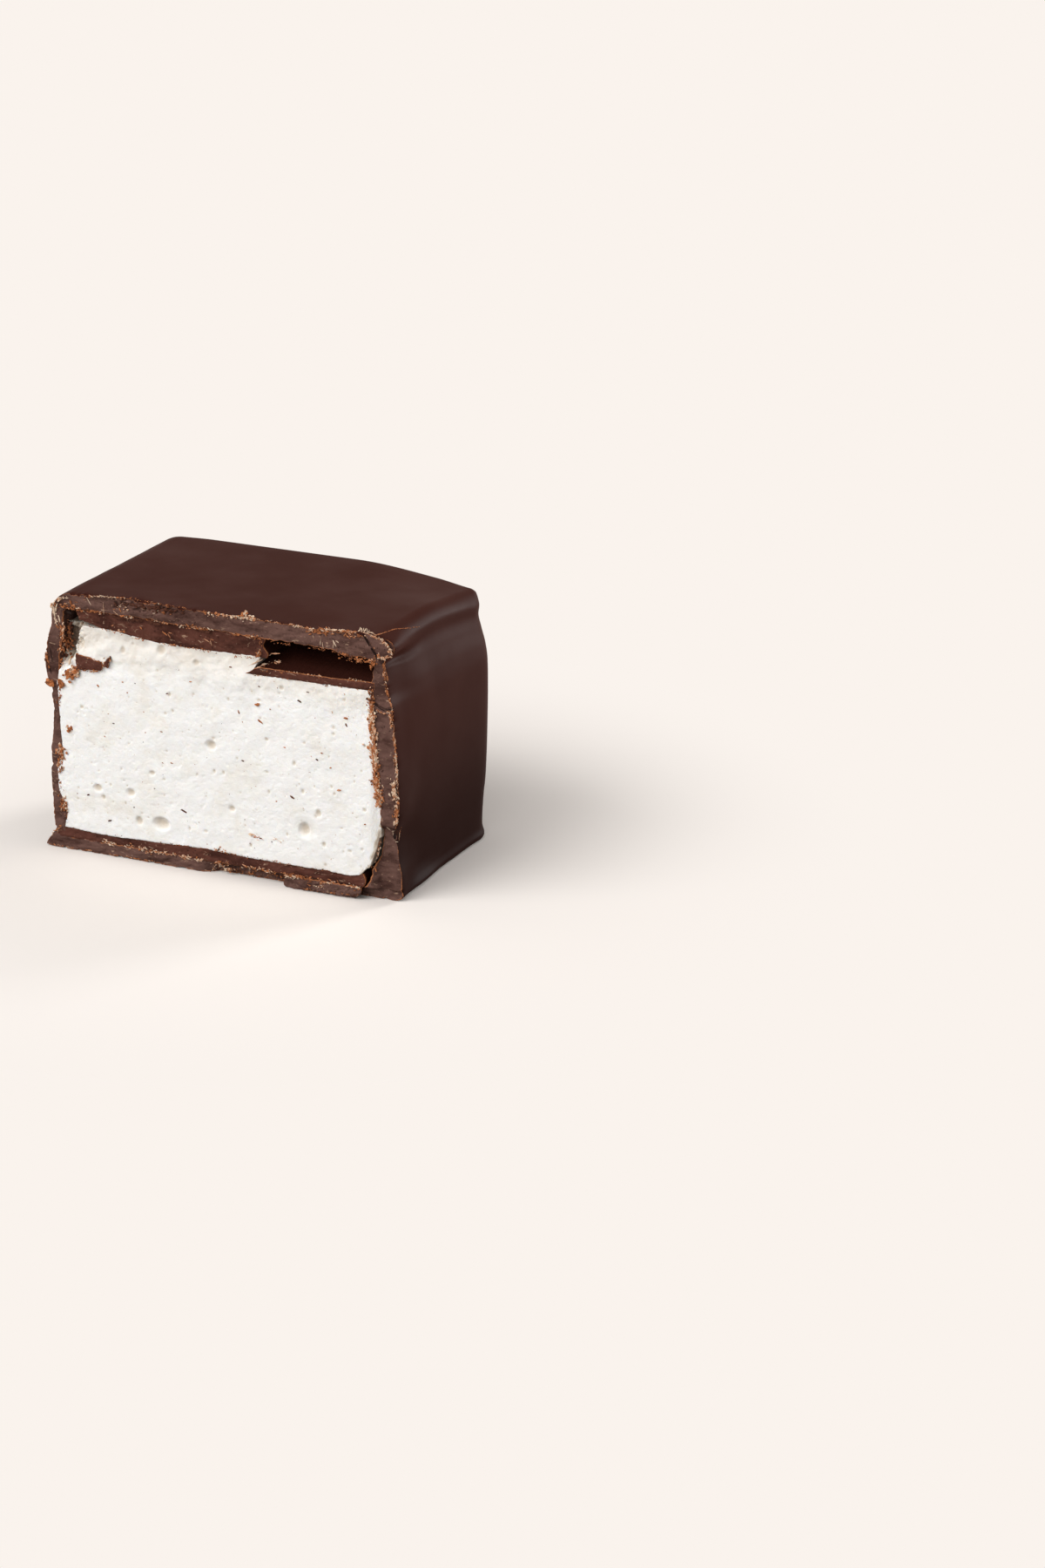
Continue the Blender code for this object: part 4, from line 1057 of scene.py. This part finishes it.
def broken_chocolate_group():
    """Broken chocolate: an even ground with darker smears along the cut, thin pale scratches, and
    a crumbly lighter ridge where Edge is near 1."""
    group = bpy.data.node_groups.new("broken_chocolate", "ShaderNodeTree")
    sockets = (
        ("Vector", "INPUT", "NodeSocketVector"), ("Ground", "INPUT", "NodeSocketColor"),
        ("Dark", "INPUT", "NodeSocketColor"), ("Scratch", "INPUT", "NodeSocketColor"),
        ("Ridge", "INPUT", "NodeSocketColor"), ("Edge", "INPUT", "NodeSocketFloat"),
        ("Colour", "OUTPUT", "NodeSocketColor"), ("Roughness", "OUTPUT", "NodeSocketFloat"),
        ("Height", "OUTPUT", "NodeSocketFloat"),
    )
    for name, way, kind in sockets:
        group.interface.new_socket(name=name, in_out=way, socket_type=kind)
    given = group.nodes.new("NodeGroupInput")
    result = group.nodes.new("NodeGroupOutput")
    stretched = add_node(group, "ShaderNodeMapping", {"Scale": (0.4, 1.0, 1.0)})
    group.links.new(given.outputs["Vector"], stretched.inputs["Vector"])
    smears = noise_node(group, stretched.outputs[0], 900.0, 5.0, 0.65)
    lumps = noise_node(group, given.outputs["Vector"], 2200.0, 6.0, 0.7)
    scratches = noise_node(group, stretched.outputs[0], 2600.0, 3.0, 0.6, 1.5)
    crumble = noise_node(group, given.outputs["Vector"], 3200.0, 4.0, 0.7)
    dark = mask_node(group, smears, 0.58, 0.34, 0.0, 0.75)
    scratch = mask_node(group, scratches, 0.61, 0.74, 0.0, 0.65)
    fine = noise_node(group, given.outputs["Vector"], 5200.0, 2.0, 0.6)
    # Painted shade: the tiny pocks are pressed in by the bump and also turned to the dark colour.
    pocks = mask_node(group, fine, 0.36, 0.25, 0.0, 0.8)
    specks = mask_node(group, fine, 0.68, 0.78, 0.0, 0.55)
    patchy = combine(group, "ADD", given.outputs["Edge"], combine(group, "SUBTRACT", crumble, 0.5))
    ridge = mask_node(group, patchy, 0.55, 0.95, 0.0, 0.9)
    colour = mix_colours(group, dark, given.outputs["Ground"], given.outputs["Dark"])
    colour = mix_colours(group, pocks, colour, given.outputs["Dark"])
    colour = mix_colours(group, combine(group, "MAXIMUM", scratch, specks), colour, given.outputs["Scratch"])
    colour = mix_colours(group, ridge, colour, given.outputs["Ridge"])
    group.links.new(colour, result.inputs["Colour"])
    group.links.new(mask_node(group, lumps, 0.3, 0.7, 0.6, 0.85), result.inputs["Roughness"])
    height = combine(group, "ADD", lumps, combine(group, "MULTIPLY", smears, 1.5))
    height = combine(group, "SUBTRACT", height, pocks)
    height = combine(group, "ADD", height, combine(group, "MULTIPLY", ridge, crumble))
    group.links.new(height, result.inputs["Height"])
    return group


def new_material(name, values):
    material = bpy.data.materials.new(name)
    material.use_nodes = True
    tree = material.node_tree
    shader = tree.nodes["Principled BSDF"]
    for socket, value in values.items():
        shader.inputs[socket].default_value = value
    place = tree.nodes.new("ShaderNodeTexCoord").outputs["Object"]
    return material, tree, shader, place


def bump_into(tree, shader, height, distance):
    bump = add_node(tree, "ShaderNodeBump", {"Strength": 1.0, "Distance": distance})
    tree.links.new(height, bump.inputs["Height"])
    tree.links.new(bump.outputs["Normal"], shader.inputs["Normal"])


def broken_look(tree, group, place, ground, dark):
    made = add_node(tree, "ShaderNodeGroup", node_tree=group)
    tree.links.new(place, made.inputs["Vector"])
    for name, value in (("Ground", ground), ("Dark", dark), ("Scratch", SCRAPED), ("Ridge", RIDGE)):
        made.inputs[name].default_value = value
    edge = add_node(tree, "ShaderNodeAttribute", attribute_name="edge").outputs["Fac"]
    tree.links.new(edge, made.inputs["Edge"])
    return made.outputs


def height_of(tree, place):
    parts = add_node(tree, "ShaderNodeSeparateXYZ")
    tree.links.new(place, parts.inputs[0])
    return parts.outputs["Z"]


def coating_material(group):
    """Set dark chocolate: satin where it was dipped, rough where the attribute says it is broken."""
    material, tree, shader, place = new_material("dark_coating_look", {"Specular IOR Level": 0.016})
    broken = add_node(tree, "ShaderNodeAttribute", attribute_name="broken").outputs["Fac"]
    clouds = noise_node(tree, place, 160.0, 3.0, 0.5)
    fine = noise_node(tree, place, 5200.0, 3.0, 0.6)
    smooth_colour = mix_colours(tree, mask_node(tree, clouds, 0.35, 0.7), COAT, COAT_DARK)
    # Painted shade: the dipped skin turns darker from 17 mm down to 2 mm above the floor.
    low = mask_node(tree, height_of(tree, place), 0.017, 0.002)
    smooth_colour = mix_colours(tree, low, smooth_colour, COAT_PAINTED_LOW_SHADE)
    torn = broken_look(tree, group, place, BROKEN, BROKEN_DARK)
    tree.links.new(mix_colours(tree, broken, smooth_colour, torn["Colour"]), shader.inputs["Base Color"])
    satin = mask_node(tree, clouds, 0.3, 0.7, 0.46, 0.54)
    rough = combine(tree, "MULTIPLY", combine(tree, "SUBTRACT", torn["Roughness"], satin), broken)
    tree.links.new(combine(tree, "ADD", satin, rough), shader.inputs["Roughness"])
    relief = combine(tree, "MULTIPLY", torn["Height"], broken)
    skin = combine(tree, "ADD", combine(tree, "MULTIPLY", fine, 0.03), combine(tree, "MULTIPLY", clouds, 0.4))
    bump_into(tree, shader, combine(tree, "ADD", relief, skin), 0.00007)
    return material


def plate_material(group):
    material, tree, shader, place = new_material("dark_plate_look", {"Specular IOR Level": 0.08})
    torn = broken_look(tree, group, place, PLATE, PLATE_DARK)
    broken = add_node(tree, "ShaderNodeAttribute", attribute_name="broken").outputs["Fac"]
    # Painted shade: the drawn-back sides, where broken is 0, turn near-black, which darkens the sunken
    # shard's top in the gap under the upper plate.
    faced = mask_node(tree, broken, 0.2, 0.9)
    tree.links.new(mix_colours(tree, faced, PLATE_PAINTED_SHADE, torn["Colour"]), shader.inputs["Base Color"])
    tree.links.new(torn["Roughness"], shader.inputs["Roughness"])
    bump_into(tree, shader, torn["Height"], 0.00006)
    return material


def crumb_and_shade_material():
    """Crumbs and scrapings, from dark to pale by their own tone, and near-black strokes of painted shade in
    cracks and gaps where the tone is below 0.
    """
    values = {"Specular IOR Level": 0.15, "Roughness": 0.75}
    material, tree, shader, place = new_material("crumb_and_shade_look", values)
    tone = add_node(tree, "ShaderNodeAttribute", attribute_name="tone").outputs["Fac"]
    mottle = noise_node(tree, place, 4000.0, 3.0)
    shade = combine(tree, "ADD", tone, combine(tree, "MULTIPLY", combine(tree, "SUBTRACT", mottle, 0.5), 0.5))
    # Tones below 0 turn near-black: painted shade in cracks and gaps.
    colour = mix_colours(tree, mask_node(tree, shade, -0.35, 0.0), CRUMB_PAINTED_SHADE, CRUMB_DARK)
    colour = mix_colours(tree, mask_node(tree, shade, 0.05, 0.55), colour, CRUMB_MID)
    colour = mix_colours(tree, mask_node(tree, shade, 0.55, 1.0), colour, CRUMB_PALE)
    tree.links.new(colour, shader.inputs["Base Color"])
    bump_into(tree, shader, mottle, 0.00003)
    return material


def foam_material():
    """Fine white foam: faint cream clouds, tiny pores, and light that goes a little way in."""
    values = {
        "Specular IOR Level": 0.1, "Roughness": 0.85, "Subsurface Weight": 0.3, "Subsurface Scale": 0.0003,
        "Subsurface Radius": (1.0, 0.85, 0.7),
    }
    material, tree, shader, place = new_material("foam_look", values)
    clouds = noise_node(tree, place, 350.0, 5.0, 0.6)
    pores = noise_node(tree, place, 4200.0, 5.0, 0.7)
    hollow = add_node(tree, "ShaderNodeAttribute", attribute_name="hollow").outputs["Fac"]
    colour = mix_colours(tree, mask_node(tree, clouds, 0.46, 0.72, 0.0, 0.75), FOAM, FOAM_SHADE)
    # Painted shade: the foam turns darker towards its top, under the upper plate.
    painted_shade_under_plate = combine(tree, "ADD", height_of(tree, place), combine(tree, "MULTIPLY", clouds, 0.004))
    colour = mix_colours(tree, mask_node(tree, painted_shade_under_plate, 0.0165, 0.0205, 0.0, 0.45), colour, FOAM_PAINTED_SHADE_SOFT)
    colour = mix_colours(tree, mask_node(tree, pores, 0.42, 0.26, 0.0, 0.6), colour, FOAM_SHADE)
    # Painted shade by the hollow attribute: soft in bubbles and shallow recesses, deep in the tear and beside
    # the lower right wall.
    colour = mix_colours(tree, mask_node(tree, hollow, 0.0, 0.6), colour, FOAM_PAINTED_SHADE_SOFT)
    colour = mix_colours(tree, mask_node(tree, hollow, 0.6, 1.0), colour, FOAM_PAINTED_SHADE_DEEP)
    tree.links.new(colour, shader.inputs["Base Color"])
    bump_into(tree, shader, pores, 0.00006)
    return material


def seen_rays(tree):
    """1 for rays that show the backdrop itself, and 0 for those that only carry light."""
    rays = add_node(tree, "ShaderNodeLightPath").outputs
    seen = combine(tree, "MAXIMUM", rays["Is Camera Ray"], rays["Is Glossy Ray"])
    return combine(tree, "MAXIMUM", seen, rays["Is Transmission Ray"])


def floor_material():
    """A pale floor that keeps the object's shadow near it and ends in the backdrop's own colour."""
    material, tree, shader, place = new_material("pale_floor", {"Roughness": 0.9, "Specular IOR Level": 0.0})
    glow = add_node(tree, "ShaderNodeEmission", {"Color": BACKDROP, "Strength": 1.0})
    distance = add_node(tree, "ShaderNodeVectorMath", operation="LENGTH")
    tree.links.new(place, distance.inputs[0])
    away = mask_node(tree, distance.outputs["Value"], 0.017, 0.05)
    seen = seen_rays(tree)
    tree.links.new(mix_colours(tree, seen, FLOOR_BOUNCE, BACKDROP), shader.inputs["Base Color"])
    blend = add_node(tree, "ShaderNodeMixShader")
    tree.links.new(combine(tree, "MULTIPLY", seen, away), blend.inputs[0])
    tree.links.new(shader.outputs[0], blend.inputs[1])
    tree.links.new(glow.outputs[0], blend.inputs[2])
    tree.links.new(blend.outputs[0], tree.nodes["Material Output"].inputs["Surface"])
    return material


def make_floor():
    shape = bmesh.new()
    bmesh.ops.create_grid(shape, x_segments=4, y_segments=4, size=1.5)
    mesh = bpy.data.meshes.new("floor")
    shape.to_mesh(mesh)
    shape.free()
    floor = bpy.data.objects.new("floor", mesh)
    bpy.context.scene.collection.objects.link(floor)
    mesh.materials.append(floor_material())


# Camera and light, in metres from the origin.
CAMERA_TURN = math.radians(25.09)
CAMERA_RISE = math.radians(19.62)
CAMERA_AWAY = 0.350888
CAMERA_RIGHT = 0.019491
CAMERA_UP = 0.004419
LENS = 100.0
SENSOR = 36.0
LIGHTS = (
    ("key_light", (-0.34, -0.54, 0.50), 0.60, 0.85),
    ("front_light", (0.10, -0.66, 0.24), 0.45, 0.27),
    ("top_light", (0.05, 0.20, 0.70), 0.60, 0.06),
    ("back_light", (0.42, 0.66, 0.13), 0.24, 1.0),
)
WORLD_LEVEL = 0.28


def make_camera():
    side = Vector((math.cos(CAMERA_TURN), math.sin(CAMERA_TURN), 0.0))
    back = Vector((
        math.sin(CAMERA_TURN) * math.cos(CAMERA_RISE),
        -math.cos(CAMERA_TURN) * math.cos(CAMERA_RISE),
        math.sin(CAMERA_RISE),
    ))
    up = back.cross(side)
    lens = bpy.data.cameras.new("camera")
    lens.lens = LENS
    lens.sensor_width = SENSOR
    lens.clip_start = 0.01
    lens.clip_end = 20.0
    camera = bpy.data.objects.new("camera", lens)
    camera.location = side * CAMERA_RIGHT + up * CAMERA_UP + back * CAMERA_AWAY
    camera.rotation_mode = "QUATERNION"
    camera.rotation_quaternion = (-back).to_track_quat("-Z", "Y")
    bpy.context.scene.collection.objects.link(camera)
    bpy.context.scene.camera = camera


def make_lights():
    """Soft square lamps. Each one's level is the brightness that it gives a white card facing it."""
    for name, place, size, level in LIGHTS:
        lamp = bpy.data.lights.new(name, "AREA")
        lamp.shape = "SQUARE"
        lamp.size = size
        away = Vector(place).length
        lamp.energy = level * math.pi ** 2 * away ** 2
        light = bpy.data.objects.new(name, lamp)
        light.location = place
        light.rotation_mode = "QUATERNION"
        light.rotation_quaternion = (MIDDLE * MM - Vector(place)).to_track_quat("-Z", "Y")
        bpy.context.scene.collection.objects.link(light)


def make_world():
    world = bpy.data.worlds.new("studio")
    world.use_nodes = True
    bpy.context.scene.world = world
    tree = world.node_tree
    light = tree.nodes["Background"]
    light.inputs["Color"].default_value = (1.0, 0.98, 0.96, 1.0)
    light.inputs["Strength"].default_value = WORLD_LEVEL
    shown = add_node(tree, "ShaderNodeBackground", {"Color": BACKDROP, "Strength": 1.0})
    seen = seen_rays(tree)
    blend = add_node(tree, "ShaderNodeMixShader")
    tree.links.new(seen, blend.inputs[0])
    tree.links.new(light.outputs[0], blend.inputs[1])
    tree.links.new(shown.outputs[0], blend.inputs[2])
    tree.links.new(blend.outputs[0], tree.nodes["World Output"].inputs["Surface"])


def make_bits(coating, plate):
    make_broken_bit(
        "cracked_corner", "corner_chip",
        ((13.75, 19.95), (14.95, 20.2), (14.2, 21.35), (12.5, 21.76)), -0.06, 0.55, 0.06, 160.0, coating,
    )
    make_broken_bit(
        "loose_rim", "base_chip",
        ((5.3, 0.04), (11.9, 0.12), (12.35, 1.05), (5.4, 1.0)), -0.4, 1.3, 0.12, 170.0, coating,
        (120, 20),
    )
    make_broken_bit(
        "carried_flake", "pressed_flake",
        ((-12.9, 15.35), (-10.6, 15.55), (-10.5, 16.2), (-12.95, 16.68)), -0.24, 0.8, 0.06, 180.0, plate,
    )
    make_broken_bit(
        "carried_flake_tip", None,
        ((-10.5, 15.95), (-10.05, 15.8), (-9.8, 16.75), (-10.0, 16.7)), -0.25, 0.5, 0.06, 190.0, plate,
        (14, 18),
    )


def main():
    bpy.context.scene.view_settings.view_transform = "Standard"
    make_camera()
    make_lights()
    make_world()
    make_floor()
    group = broken_chocolate_group()
    coating = coating_material(group)
    plate = plate_material(group)
    crumbs = crumb_and_shade_material()
    shell = make_shell(coating)
    foam = make_foam(foam_material())
    make_upper_plate(plate)
    make_lower_plate(plate)
    make_sunken_shard(plate)
    make_bits(coating, plate)
    make_crumbs_and_shade_strokes(crumbs, shell)
    make_flecks(crumbs, foam)


main()
